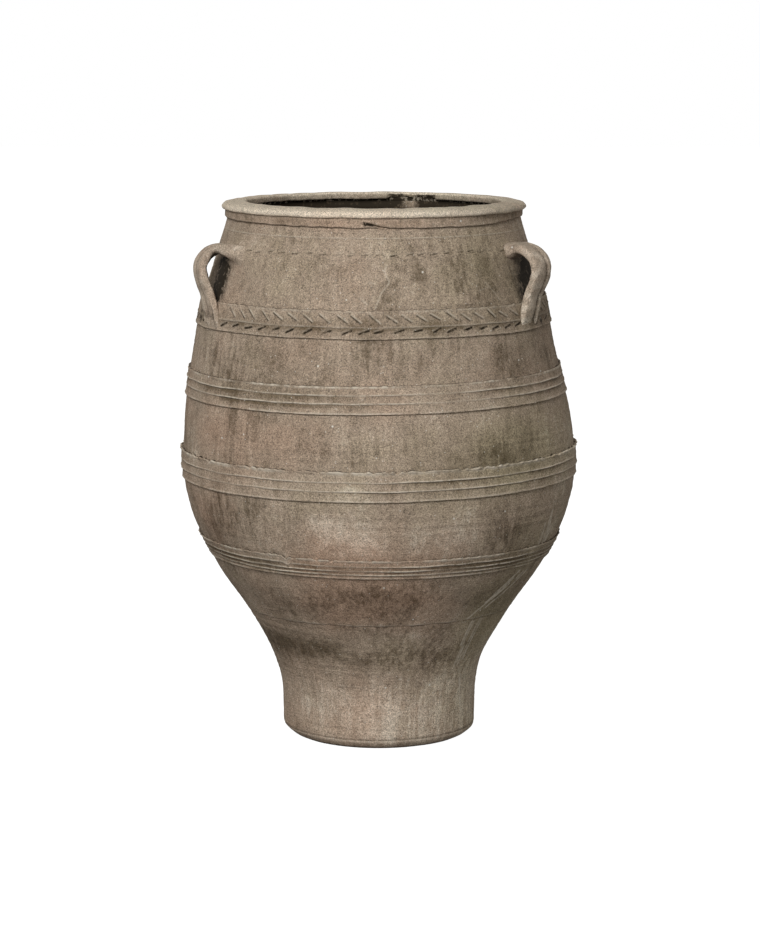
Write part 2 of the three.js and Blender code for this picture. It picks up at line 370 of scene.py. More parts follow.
class JarForm:
    """The wall of the jar as smooth curves of height, read from the frame's own sections."""

    SECTIONS = (
        "foot_section",
        "lower_belly_section",
        "belly_section",
        "upper_belly_section",
        "shoulder_section",
        "neck_section",
    )
    SPACING = 2.0
    SPREAD = 6.0  # of the smoothing, in spacings
    JAR_HEIGHT = 1000.0
    FACING = 0.6  # a face counts as wall where its normal points this far out or in
    LEAST_CORNERS = 40  # a level with fewer corners isn't a ring of the wall
    SWELL = 0.55  # of the broad unevenness
    LUMP = 0.2  # of the unevenness a hand wide
    GROUND_EDGE = 19.0  # the rounded edge of the foot lies below this height

    def __init__(self, nodes: dict[str, Piece]) -> None:
        """Read the wall.

        Args:
            nodes: The frame's nodes by name.
        """
        self.heights = np.arange(0, self.JAR_HEIGHT + self.SPACING, self.SPACING)
        outer = self._levels(nodes, 1)
        inner = self._levels(nodes, -1)
        self.outer = self._curve(outer, 2)
        self.inner = self._curve(inner, 2)
        self.drift = self._curve(outer, 1)
        self.swell = Ripple(11, (2, 7), (260, 900), 14)
        self.lumps = Ripple(12, (6, 26), (60, 240), 26)

    def _levels(self, nodes: dict[str, Piece], side: int) -> Row:
        """The wall's height, middle and radius at each level of its corners.

        Args:
            nodes: The frame's nodes by name.
            side: 1 for the outside and -1 for the inside.

        Returns:
            A row of height, middle and radius for each level, in mm.
        """
        levels: dict[int, list[float]] = {}
        for name in self.SECTIONS:
            mesh = nodes[name].data
            for face in mesh.polygons:
                across = Vector(face.center[:2]).normalized()
                if side * across.dot(Vector(face.normal[:2])) < self.FACING:
                    continue
                for corner in face.vertices:
                    x, _, z = mesh.vertices[corner].co / MM
                    levels.setdefault(round(z), []).append(x)
        rows = [
            (z, (max(x) + min(x)) / 2, (max(x) - min(x)) / 2)
            for z, x in levels.items()
            if len(x) > self.LEAST_CORNERS and z > self.GROUND_EDGE
        ]
        return np.array(sorted(rows))

    def _curve(self, levels: Row, column: int) -> Row:
        """A smooth curve of height through one column of the levels."""
        return softened(np.interp(self.heights, levels[:, 0], levels[:, column]), self.SPREAD)

    def radius(self, height: Row | float) -> Row:
        """Radius of the smooth outside at a height."""
        return np.interp(height, self.heights, self.outer)

    def thickness(self, height: Row | float) -> Row:
        """Thickness of the wall at a height."""
        return np.interp(height, self.heights, self.outer - self.inner)

    def skin(self, azimuth: Row, height: Row) -> Row:
        """Radius of the hand-built outside, with its swellings and hollows.

        Args:
            azimuth: Azimuths in radians.
            height: Heights in mm.

        Returns:
            Distance from the leaning middle line, in mm.
        """
        uneven = self.SWELL * self.swell(azimuth, height) + self.LUMP * self.lumps(azimuth, height)
        return self.radius(height) + uneven + added(HOLLOWS, azimuth, height)

    def place(self, azimuth: Row, standoff: Row, height: Row, worked: bool = True) -> Row:
        """Points in the frame, in mm, for points in jar coordinates.

        Args:
            azimuth: Azimuths in radians.
            standoff: Distances out from the skin.
            height: Heights in mm.
            worked: Whether the swellings and hollows of the wall carry the points with them.

        Returns:
            An array with a row of x, y and z for each point.
        """
        radius = (self.skin(azimuth, height) if worked else self.radius(height)) + standoff
        lean = np.interp(height, self.heights, self.drift)
        return np.column_stack([radius * np.sin(azimuth) + lean, -radius * np.cos(azimuth), height])


def rounded(outline: Outline, spacing: float, softness: float) -> Outline:
    """A closed outline with even spacing and softened corners.

    Args:
        outline: The corners.
        spacing: Distance between the new points.
        softness: Spread of the smoothing, in mm.

    Returns:
        The new outline.
    """
    corners = np.array(outline + outline[:1])
    lengths = np.concatenate([[0], np.cumsum(np.hypot(*np.diff(corners, axis=0).T))])
    count = int(lengths[-1] / spacing)
    at = np.linspace(0, lengths[-1], count, endpoint=False)
    even = np.column_stack([np.interp(at, lengths, corners[:, axis]) for axis in (0, 1)])
    steps = np.arange(count)
    weights = bell(np.minimum(steps, count - steps) * spacing, softness * math.sqrt(2))
    soft = [np.real(np.fft.ifft(np.fft.fft(row) * np.fft.fft(weights / weights.sum()))) for row in even.T]
    return list(zip(*soft))


# ---- Making pieces --------------------------------------------------------------------------


@dataclass
class Potter:
    """Turns outlines into finished pieces on the frame."""

    form: JarForm
    clays: dict[Slot, bpy.types.Material]
    TURNS = 60  # coarse steps of a spin, which are then divided

    def spin(self, outline: Outline, steps: int) -> Mesh:
        """Spin a closed outline round the straight radius.

        Args:
            outline: Standoff and height of each corner.
            steps: How many faces go round, a multiple of the coarse steps.

        Returns:
            A closed mesh in mm.
        """
        ring = bmesh.new()
        points = [ring.verts.new((STRAIGHT_RADIUS + out, 0, height)) for out, height in outline]
        sides = [ring.edges.new(pair) for pair in zip(points, points[1:] + points[:1])]
        bmesh.ops.spin(
            ring,
            geom=points + sides,
            cent=(0, 0, 0),
            axis=(0, 0, 1),
            dvec=(0, 0, 0),
            angle=2 * math.pi,
            steps=self.TURNS,
            use_merge=True,
            use_duplicate=False,
        )
        long = 5 * STRAIGHT_RADIUS / self.TURNS  # only the edges that go round are longer
        around = [edge for edge in ring.edges if edge.calc_length() > long]
        bmesh.ops.subdivide_edges(ring, edges=around, cuts=steps // self.TURNS - 1, use_grid_fill=True)
        return baked(ring, "ring")

    def lay(self, name: str, mesh: Mesh, skin: Skin, slot: Slot) -> Piece:
        """Lay a worked ring on the jar and finish it.

        Args:
            name: Name of the frame's node that the piece stands for.
            mesh: The ring's mesh.
            skin: Its worked points.
            slot: The clay it is made of.

        Returns:
            The finished piece.
        """
        spot = (skin.azimuth, skin.height)
        # The shade table's painted shade goes into the dirt-and-shade layer.
        for shade in SHADES:
            skin.darken(shade.over(*spot))
        tone = skin.tone + added(TONES, *spot)
        paint(mesh, edge=skin.edge, soil=skin.soil, tone=tone, hue=added(HUES, *spot))
        points = self.form.place(skin.azimuth, skin.standoff, skin.height)
        return self.finish(name, mesh, points, slot)

    def finish(self, name: str, mesh: Mesh, points: Row, slot: Slot) -> Piece:
        """Place a mesh, give it its clay and set it on the frame.

        Args:
            name: Name of the frame's node that the piece stands for.
            mesh: The mesh.
            points: Its points, in mm.
            slot: The clay it is made of.

        Returns:
            The finished piece.
        """
        mesh.vertices.foreach_set("co", (points * MM).ravel())
        mesh.shade_smooth()
        mesh.materials.append(self.clays[slot])
        mesh.name = name
        piece = bpy.data.objects.new(f"{name}_clay", mesh)
        bpy.context.scene.collection.objects.link(piece)
        mesh.update()
        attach(piece, BODY)
        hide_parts(name)
        LOG.info("%s: %d faces in %s", piece.name, len(mesh.polygons), slot.value)
        return piece


# ---- Sections of the wall -------------------------------------------------------------------


@dataclass
class WallSection:
    """One section of the wall, from its lower joint to its upper one."""

    node: str
    bottom: float
    top: float
    slot: Slot = Slot.BODY_CLAY
    spacing: float = 2.3
    steps: int = 720
    fine: tuple[Pair, ...] = ()  # heights that carry fine marks, from and to
    cuts: tuple[Cut, ...] = ()
    seed: int = 1

    TURNING = 0.16  # depth of the marks left by the wheel and the hand
    KNEADING = 0.10  # depth of the small lumps between them
    INNER_PAINTED_SHADE = 2.4
    WALL = 23.0  # nominal thickness while the ring is straight
    JOINT_RISE = 8.0
    GAP = 0.3
    INNER_SPACING = 12.0
    FINE_SPACING = 0.8
    LIP = 0.8  # rounding of a joint's edge

    def outline(self) -> Outline:
        """The section's outline, up the outside and down the inside.

        Returns:
            Its corners in order.
        """
        low, high = self.bottom + self.GAP, self.top
        rise = self.JOINT_RISE
        return [
            (-self.LIP, low),
            *((0.0, height) for height in self._heights(low + self.LIP, high - self.LIP)),
            (-self.LIP, high),
            (-self.WALL, high + rise),
            *((-self.WALL, height) for height in self._inner_heights(high + rise, low + rise)[1:]),
        ]

    def _heights(self, low: float, high: float) -> list[float]:
        """Heights up the outside, closer together where there are fine marks.

        Args:
            low: The first height.
            high: The last height.

        Returns:
            The heights in order.
        """
        made = [low]
        while made[-1] < high - self.spacing:
            here = made[-1]
            fine = any(start - self.spacing <= here <= end for start, end in self.fine)
            made.append(here + (self.FINE_SPACING if fine else self.spacing))
        return [*made, high]

    def _inner_heights(self, high: float, low: float) -> list[float]:
        """Heights down the inside."""
        return list(np.linspace(high, low, max(2, round((high - low) / self.INNER_SPACING))))

    def build(self, potter: Potter) -> Piece:
        """Make the section.

        Args:
            potter: The maker of pieces.

        Returns:
            The finished piece.
        """
        mesh = potter.spin(self.outline(), self.steps)
        skin = Skin.of(mesh, shown_above=-self.WALL / 2)
        share = np.clip(-skin.standoff / self.WALL, 0, 1)
        self.work(skin)
        skin.height += self.tilt(skin)
        lost = skin.standoff + share * self.WALL
        skin.standoff = lost - share * potter.form.thickness(skin.height)
        # The inside is darkened with painted shade, in the dirt-and-shade layer and the tone, and
        # lightened where light comes through the broken lip.
        within = ramp(share, 0.5, 0.9)
        chip_light_share = CHIP_LIGHT.over(skin.azimuth, skin.height)
        skin.darken(within * (self.INNER_PAINTED_SHADE - 2.7 * chip_light_share))
        skin.tone -= within * (1 - 1.2 * chip_light_share)
        return potter.lay(self.node, mesh, skin, self.slot)

    def work(self, skin: Skin) -> None:
        """Leave the marks of turning, wiping and wear on the section.

        Args:
            skin: The section.
        """
        turned = Ripple(self.seed + 20, (0, 2), (7, 19), 12)(skin.azimuth, skin.height)
        faded = 0.6 + 0.4 * Ripple(self.seed + 40, (1, 5), (70, 200))(skin.azimuth, skin.height)
        skin.press(self.TURNING * turned * faded)
        lumps = Ripple(self.seed + 60, (30, 110), (18, 70), 30)(skin.azimuth, skin.height)
        skin.press(self.KNEADING * lumps)
        for cut in self.cuts:
            cut.carve(skin, STRAIGHT_RADIUS)

    def tilt(self, skin: Skin) -> Row:
        """How far each point is raised where a joint isn't level."""
        return np.zeros_like(skin.height)


@dataclass
class LowJointSection(WallSection):
    """A section that meets the visible joint on the lower body, which runs uphill to the right."""

    joint: float = 246.0
    step: float = 1.0  # how far the upper section overhangs the lower one
    JOINT_TILT = 1.9
    REACH = 70.0

    def work(self, skin: Skin) -> None:
        """Mark the section, and thicken or thin its edge at the joint.

        Args:
            skin: The section.
        """
        super().work(skin)
        uneven = 0.7 + 0.3 * Ripple(77, (3, 30), (90, 100))(skin.azimuth, 0.0)
        away = skin.height - self.joint
        if self.bottom >= self.joint:
            skin.press(self.step * uneven * bell(away, 12))
            skin.make_paler(0.7 * uneven * bell(away - 1.5, 1.6) * skin.outside)
        else:
            skin.darken(0.55 * uneven * bell(away, 2.0) * skin.outside)

    def tilt(self, skin: Skin) -> Row:
        """Raise the joint's right and lower its left, fading up and down the wall.

        Args:
            skin: The section.

        Returns:
            The rise of each point.
        """
        ragged = 0.35 * Ripple(78, (8, 70), (90, 100))(skin.azimuth, 0.0)
        near = ramp(np.abs(skin.height - self.joint), self.REACH, 0)
        return (self.JOINT_TILT * np.sin(skin.azimuth) + ragged) * near


@dataclass
class FootSection(LowJointSection):
    """The foot, with a rounded ground edge and a bevelled seat for the floor."""

    floor_radius: float = 150.0
    EDGE_HEIGHT = 18.0
    EDGE_WIDTH = 16.0
    FLOOR_THICKNESS = 22.0
    FLOOR_BEVEL = 12.0

    def outline(self) -> Outline:
        """The foot's outline, up the outside and down the inside to the floor's seat.

        Returns:
            Its corners in order.
        """
        shares = np.linspace(0, 1, 12)[:-1]
        edge = [
            (-self.EDGE_WIDTH * (1 - share) ** 2.1 - 0.5, self.EDGE_HEIGHT * share**1.1)
            for share in shares
        ]
        edge.append((-1.6, self.EDGE_HEIGHT))
        seat = self.FLOOR_THICKNESS + self.FLOOR_BEVEL
        return [
            *edge,
            *((0.0, height) for height in self._heights(self.EDGE_HEIGHT + 2, self.top - self.LIP)),
            (-self.LIP, self.top),
            *((-self.WALL, height) for height in self._inner_heights(self.top + self.JOINT_RISE, seat)),
            (-self.WALL, self.FLOOR_THICKNESS),
            (-self.WALL - self.FLOOR_BEVEL, 0.0),
        ]

    def work(self, skin: Skin) -> None:
        """Mark the foot, chip its ground edge, and paint a contact shadow along the ground, shade in the
        groove above the rounded edge and a highlight just below that groove.

        Args:
            skin: The foot.
        """
        super().work(skin)
        knocks = Ripple(91, (10, 60), (20, 60))(skin.azimuth, skin.height)
        skin.press(-0.7 * np.maximum(knocks, 0) * bell(skin.height - 4, 9))
        # Painted contact shadow along the ground, painted shade in the groove, and a painted highlight
        # below it.
        skin.darken(1.8 * bell(skin.height, 3.2) * skin.outside)
        skin.darken(0.9 * bell(skin.height - self.EDGE_HEIGHT - 0.6, 1.2) * skin.outside)
        skin.make_paler(0.5 * bell(skin.height - self.EDGE_HEIGHT + 3, 2.0) * skin.outside)


@dataclass
class FloorSlab:
    """The round disc that closes the bottom."""

    node: str = "floor_slab"
    steps: int = 120
    GAP = 0.3
    INSETS = (2.0, 18.0, 22.0, 26.0, 30.0)  # widths of the rings that the upper face is cut into
    DIRT_AND_SHADE = 0.4

    def build(self, potter: Potter) -> Piece:
        """Make the disc.

        Args:
            potter: The maker of pieces.

        Returns:
            The finished piece.
        """
        low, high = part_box(self.node)
        top = (high.x - low.x) / 2 / MM - self.GAP
        thick = high.z / MM
        centre = Vector(((high.x + low.x) / 2 / MM, (high.y + low.y) / 2 / MM))
        disc = bmesh.new()
        bmesh.ops.create_cone(
            disc,
            cap_ends=True,
            cap_tris=False,
            segments=self.steps,
            radius1=top - FootSection.FLOOR_BEVEL,
            radius2=top,
            depth=thick,
        )
        upper = [face for face in disc.faces if face.normal.z > 0.9]
        for inset in self.INSETS:
            bmesh.ops.inset_region(disc, faces=upper, thickness=inset, use_even_offset=True)
        mesh = baked(disc, "disc")
        points = corners(mesh) + (centre.x, centre.y, thick / 2)
        reach = np.hypot(points[:, 0], points[:, 1])
        azimuth = np.arctan2(points[:, 0], -points[:, 1])
        inside = points[:, 2] > thick - 0.1
        waves = 1.0 + np.sin(reach / 9) + 0.4 * np.sin(3 * azimuth)
        points[:, 2] -= np.where(inside, waves, 0) * ramp(reach, top, top - 20)
        paint(mesh, soil=np.where(inside, self.DIRT_AND_SHADE, 0))
        return potter.finish(self.node, mesh, points, Slot.INNER_CLAY)


# ---- Rim ------------------------------------------------------------------------------------


@dataclass
class Rim:
    """The thick everted rim, with a bite out of its inner lip at the back."""

    node: str = "rim"
    steps: int = 720
    bite_azimuth: float = 162.0
    bite_length: float = 100.0
    OUTLINE = (
        (-1.0, 971.6), (-1.0, 984.0), (5.5, 984.6), (9.6, 985.2), (10.8, 986.6), (11.7, 989.0),
        (11.2, 992.2), (8.0, 995.6), (-3.0, 998.5), (-20.0, 999.7), (-29.5, 1000.0), (-33.0, 998.2),
        (-34.0, 994.0), (-33.5, 988.6), (-31.5, 985.6), (-27.0, 984.6), (-23.0, 983.0), (-23.0, 979.4),
    )
    WORKED = (980.0, 988.0)  # heights between which the hand's unevenness sets in
    INNER_LIP = -22.5
    LIP_REACH = 11.5
    BACK_SAG = 3.6  # the rim lies this much lower at the back

    def build(self, potter: Potter) -> Piece:
        """Make the rim.

        Args:
            potter: The maker of pieces.

        Returns:
            The finished piece.
        """
        mesh = potter.spin(rounded(list(self.OUTLINE), 1.3, 0.7), self.steps)
        skin = Skin.of(mesh, shown_above=-100)
        azimuth, height = skin.azimuth, skin.height.copy()
        upper = ramp(height, *self.WORKED)
        skin.make_paler(0.6 * bell(height - 989.5, 2.0) * (skin.standoff > 8))
        skin.make_paler(0.35 * bell(height - 999.5, 1.5))
        # Painted shade on the inner face under the inner lip, and a faint line of painted shade under the
        # rim's outer overhang.
        skin.darken(1.6 * (skin.standoff < self.INNER_LIP + 1) * ramp(height, 989, 985))
        skin.darken(0.3 * (skin.standoff > -2) * ramp(height, 987, 984.8))
        # Painted shade on the upper part of the inner lip's upright face.
        skin.tone -= 0.8 * (skin.standoff < -31) * ramp(height, 999, 994)
        skin.press(0.45 * Ripple(31, (3, 24), (60, 90))(azimuth, height) * upper)
        skin.press(0.16 * Ripple(32, (40, 120), (8, 26))(azimuth, height) * upper)
        skin.height += 0.3 * Ripple(33, (3, 40), (60, 90))(azimuth, 0.0) * upper
        skin.height -= self.BACK_SAG * (0.5 - 0.5 * np.cos(azimuth)) * upper
        self._bite(skin, height)
        return potter.lay(self.node, mesh, skin, Slot.RIM_CLAY)

    def _bite(self, skin: Skin, height: Row) -> None:
        """Break a ragged piece out of the inner lip, and paint shade on the lower part of the break,
        lighter where light comes through the gap.

        Args:
            skin: The rim.
            height: Heights of its points before they were worked.
        """
        arc = wrapped(skin.azimuth - math.radians(self.bite_azimuth)) * (STRAIGHT_RADIUS - 60)
        ragged = 1 + 0.16 * Ripple(34, (20, 110), (10, 30))(skin.azimuth, height)
        gone = np.clip(1 - (2 * arc / self.bite_length) ** 4, 0, 1) ** 0.7 * ragged
        share = np.clip((self.INNER_LIP - skin.standoff) / self.LIP_REACH, 0, 1)
        skin.standoff += 0.85 * share * self.LIP_REACH * gone
        skin.height += 9.0 * gone * np.sqrt(share) * ramp(height, 992, 984)
        skin.height -= 3.2 * gone * np.sqrt(share) * ramp(height, 993, 999)
        broken = gone * (share > 0.05)
        skin.edge *= 1 - np.clip(broken, 0, 1)
        shaded = broken * ramp(height, 998.5, 995)
        skin.darken(shaded * (2.2 - 2.6 * CHIP_LIGHT.over(skin.azimuth, skin.height)))
        skin.tone -= 0.6 * shaded


@dataclass
class RimCollar:
    """The thin strip pressed into the corner under the rim, with an old gash at the front."""

    node: str = "rim_collar"
    steps: int = 960
    tilt: float = -4.0
    right_lift: float = 6.0  # of the lower edge beside the right handle
    OUTLINE = (
        (-2.5, 968.0), (1.6, 968.0), (3.6, 967.2), (4.7, 968.8), (5.1, 974.0), (5.4, 981.0),
        (5.2, 985.4), (3.6, 986.6), (-0.6, 986.6), (-0.6, 971.0), (-2.5, 971.0),
    )
    GASHES = (
        Cut((-3.5, 976.0), (-3.1, 971.0), width=3.2, depth=4.0, darkening=2.0),
        Cut((-2.4, 973.4), (4.8, 966.4), width=4.6, depth=5.5, burr=0.8, darkening=2.6),
    )
    DRIPS_AT = 984.5  # height where wet clay ran down from the rim
    SOIL_AT = 967.6  # height where dirt lies along the lower edge

    def build(self, potter: Potter) -> Piece:
        """Make the collar.

        Args:
            potter: The maker of pieces.

        Returns:
            The finished piece.
        """
        mesh = potter.spin(rounded(list(self.OUTLINE), 0.8, 0.35), self.steps)
        skin = Skin.of(mesh, shown_above=0.5)
        azimuth, height = skin.azimuth, skin.height.copy()
        lumps = Ripple(36, (20, 130), (14, 40), 30)(azimuth, height)
        skin.press(0.08 * lumps + 0.25 * Ripple(37, (4, 18), (40, 60))(azimuth, height))
        drips = np.maximum(Ripple(39, (8, 90), (300, 400), 30)(azimuth, 0.0) - 1.5, 0)
        upper = bell(height - self.DRIPS_AT, 2.4)
        skin.press(0.9 * drips * upper)
        skin.make_paler(0.6 * np.minimum(drips, 1) * upper)
        skin.darken(0.9 * bell(height - self.SOIL_AT, 1.0))
        skin.tone += 0.1
        for gash in self.GASHES:
            gash.carve(skin, STRAIGHT_RADIUS)
        uneven = 0.4 * Ripple(38, (5, 60), (90, 100))(azimuth, 0.0)
        right = ramp(azimuth, 0.6, 1.4) * ramp(azimuth, 2.6, 1.8)
        rise = self.tilt / 2 * np.sin(azimuth) + self.right_lift * right
        skin.height += (rise + uneven) * ramp(height, 984, 974)
        return potter.lay(self.node, mesh, skin, Slot.STRIP_CLAY)


# ---- Applied strips -------------------------------------------------------------------------


@dataclass
class CombedStrip:
    """A flat strip of clay pressed over a joint and combed into folds that overlap like shingles."""

    node: str
    bottom: float
    top: float
    folds: tuple[float, ...]  # heights of the combed lines
    tilt: float
    seed: int
    proud: float = 3.0
    fold_depth: float = 1.5
    crest: float = 0.9  # height of the narrow ridge on each line
    wear_and_highlight: float = 0.7  # how pale the ridges and edges are made: rubbed wear and painted highlight
    burr: float = 0.6  # roughness of the torn upper edge
    lap: float | None = None  # azimuth in degrees where the strip's two ends overlap
    steps: int = 960
    spacing: float = 0.85
    BACK = -2.5
    TEAR = 1.1

    def outline(self) -> Outline:
        """The strip's section: undercut lower edge, flat face, feathered upper edge, hidden back.

        Returns:
            Its corners in order.
        """
        face = np.arange(self.bottom + 1.6, self.top - 0.6, self.spacing)
        return [
            (self.BACK, self.bottom + 1.2),
            (0.6, self.bottom + 1.0),
            (self.proud - 0.9, self.bottom - 0.1),
            (self.proud - 0.1, self.bottom + 0.5),
            *((self.proud, height) for height in face),
            (self.proud * 0.75, self.top - 0.3),
            (self.proud * 0.3, self.top),
            (self.BACK, self.top),
        ]

    def build(self, potter: Potter) -> Piece:
        """Make the strip.

        Args:
            potter: The maker of pieces.

        Returns:
            The finished piece.
        """
        mesh = potter.spin(self.outline(), self.steps)
        skin = Skin.of(mesh, shown_above=0)
        self.work(skin)
        sag = 0.3 * Ripple(self.seed + 5, (3, 14), (200, 300))(skin.azimuth, 0.0)
        skin.height += self.tilt / 2 * np.sin(skin.azimuth) + sag
        return potter.lay(self.node, mesh, skin, Slot.STRIP_CLAY)

    def work(self, skin: Skin) -> None:
        """Comb the folds, tear the upper edge and tuck in the lower one.

        Args:
            skin: The strip.
        """
        azimuth, height = skin.azimuth, skin.height.copy()
        for number, fold in enumerate(self.folds):
            self._fold(skin, height - fold, number)
        torn = Ripple(self.seed + 3, (30, 170), (12, 40), 36)(azimuth, height)
        here = np.clip(0.75 + 0.45 * Ripple(self.seed + 8, (3, 26), (200, 300))(azimuth, 0.0), 0, 1)
        edge = ramp(height, self.top - 5, self.top - 0.5)
        ridge = bell(height - self.top + 2.2, 2.0)
        skin.press((self.burr * torn + self.crest * 0.5) * edge + self.burr * (1.2 + 0.5 * torn) * ridge)
        skin.height += self.TEAR * self.burr * torn * edge
        crumbly = np.clip(0.8 + 0.3 * torn, 0, 1)
        torn_edge = bell(height - self.top + 1.8 + self.burr, 1.1 + 2.2 * self.burr)
        # Along the torn upper edge: a pale line of wear and painted highlight, then a painted shadow line
        # at its top.
        skin.make_paler(2.4 * self.wear_and_highlight * here * crumbly * torn_edge * skin.outside)
        skin.darken(1.2 * ramp(height, self.top - 0.5, self.top - 0.1))
        ragged = Ripple(self.seed + 4, (20, 150), (40, 60), 30)(azimuth, 0.0)
        foot = ramp(height, self.bottom + 5, self.bottom + 1)
        skin.height += 0.25 * ragged * foot
        skin.press((0.8 + 0.2 * ragged) * foot)
        # Along the lower edge: a pale line of wear and painted highlight, and a painted shadow under the
        # undercut.
        skin.make_paler(1.2 * self.wear_and_highlight * here * bell(height - self.bottom - 2.2, 1.6) * skin.outside)
        skin.darken(1.8 * bell(height - self.bottom + 0.3, 1.0) * (skin.standoff < self.proud + 0.4))
        skin.press(0.25 * Ripple(self.seed + 6, (10, 60), (30, 80))(azimuth, height))
        if self.lap is not None:
            self._overlap(skin)

    def _fold(self, skin: Skin, away: Row, number: int) -> None:
        """Comb one line: a narrow crest that stands over a hollow, made pale by wear and a painted
        highlight, with painted shade on the face below it.

        Args:
            skin: The strip.
            away: How far each point is above the line.
            number: Which line it is.
        """
        azimuth = skin.azimuth
        away = away - 0.22 * Ripple(self.seed + 7 + number, (4, 36), (200, 300))(azimuth, 0.0)
        held = Ripple(self.seed + 17 + number, (2, 12), (200, 300))(azimuth, 0.0)
        firm = np.clip(0.85 + 0.35 * held, 0.15, 1.3)
        skin.press(firm * self.fold_depth / 2 * np.tanh(away / 0.6) * np.exp(-np.abs(away) / 5.0))
        skin.press(firm * self.crest * bell(away - 0.9, 1.3))
        skin.make_paler(2.0 * self.wear_and_highlight * firm * bell(away - 1.0, 1.3) * skin.outside)
        skin.darken(0.5 * firm * bell(away + 1.2, 0.9) * skin.outside)
        skin.tone -= 0.35 * firm * bell(away + 3.5, 3.5) * skin.outside

    def _overlap(self, skin: Skin) -> None:
        """Show where one end of the strip was laid over the other.

        Args:
            skin: The strip.
        """
        arc = wrapped(skin.azimuth - math.radians(self.lap or 0.0)) * STRAIGHT_RADIUS
        upper = ramp(skin.height, self.bottom + 10, self.top - 6)
        skin.press(1.1 * np.exp(-np.maximum(-arc, 0) / 30) * ramp(arc, 1.5, -1.5) * upper)
        skin.height += 3.4 * np.exp(-np.maximum(-arc, 0) / 120) * ramp(arc, 6.0, -10.0) * upper
        skin.height -= 4.0 * bell(arc - 2, 4.0) * upper
        skin.make_paler(0.8 * bell(arc - 1, 3.0) * upper * skin.outside)


@dataclass
class HerringboneStrip(CombedStrip):
    """The strip at the foot of the neck, with a row of slanting strokes over a row of wedge cuts."""

    steps: int = 1440
    spacing: float = 0.95
    fold_depth: float = 0.9
    gaps: tuple[Pair, ...] = ((-63.0, 6.0), (61.0, 7.0), (180.0, 7.0))  # handle feet
    UPPER_ROW = (817.0, 804.0, 27.0, 17.0)  # heights of a stroke's left and right end, spacing, length
    LOWER_ROW = (786.5, 791.5, 29.0, 13.0)
    SPACINGS = (0.86, 1.14)  # least and most of the row's spacing
    LENGTHS = (0.85, 1.12)
    DEPTHS = (0.35, 1.2)
    STRAY = 1.0  # of a stroke's ends up or down, in mm

    def work(self, skin: Skin) -> None:
        """Comb the strip, then cut both rows.

        Args:
            skin: The strip.
        """
        super().work(skin)
        draw = np.random.default_rng(self.seed)
        self._row(skin, draw, self.UPPER_ROW, Cut((0, 0), (1, 1), 2.4, 1.7, 0.9, 1.2, 0.9))
        self._row(skin, draw, self.LOWER_ROW, Cut((0, 0), (1, 1), 3.2, 2.4, 0.4, 2.4, 0.3))

    def _row(self, skin: Skin, draw: np.random.Generator, row: tuple[float, ...], like: Cut) -> None:
        """Cut one row of strokes all round, apart from under the handles.

        Args:
            skin: The strip.
            draw: Source of the hand's unevenness.
            row: Height at the left end, height at the right end, spacing, and length round the jar.
            like: A stroke of the right width, depth and burr.
        """
        left, right, spacing, length = row
        at = -180.0
        while at < 180.0:
            turn = math.degrees(spacing * draw.uniform(*self.SPACINGS) / STRAIGHT_RADIUS)
            reach = math.degrees(length * draw.uniform(*self.LENGTHS) / STRAIGHT_RADIUS)
            shift = draw.normal(0, self.STRAY, 2)
            depth = like.depth * draw.uniform(*self.DEPTHS)
            at += turn
            if any(abs((at + reach / 2 - middle + 180) % 360 - 180) < half for middle, half in self.gaps):
                continue
            start, end = (at, left + shift[0]), (at + reach, right + shift[1])
            replace(like, start=start, end=end, depth=depth).carve(skin, STRAIGHT_RADIUS)


# ---- Handles --------------------------------------------------------------------------------


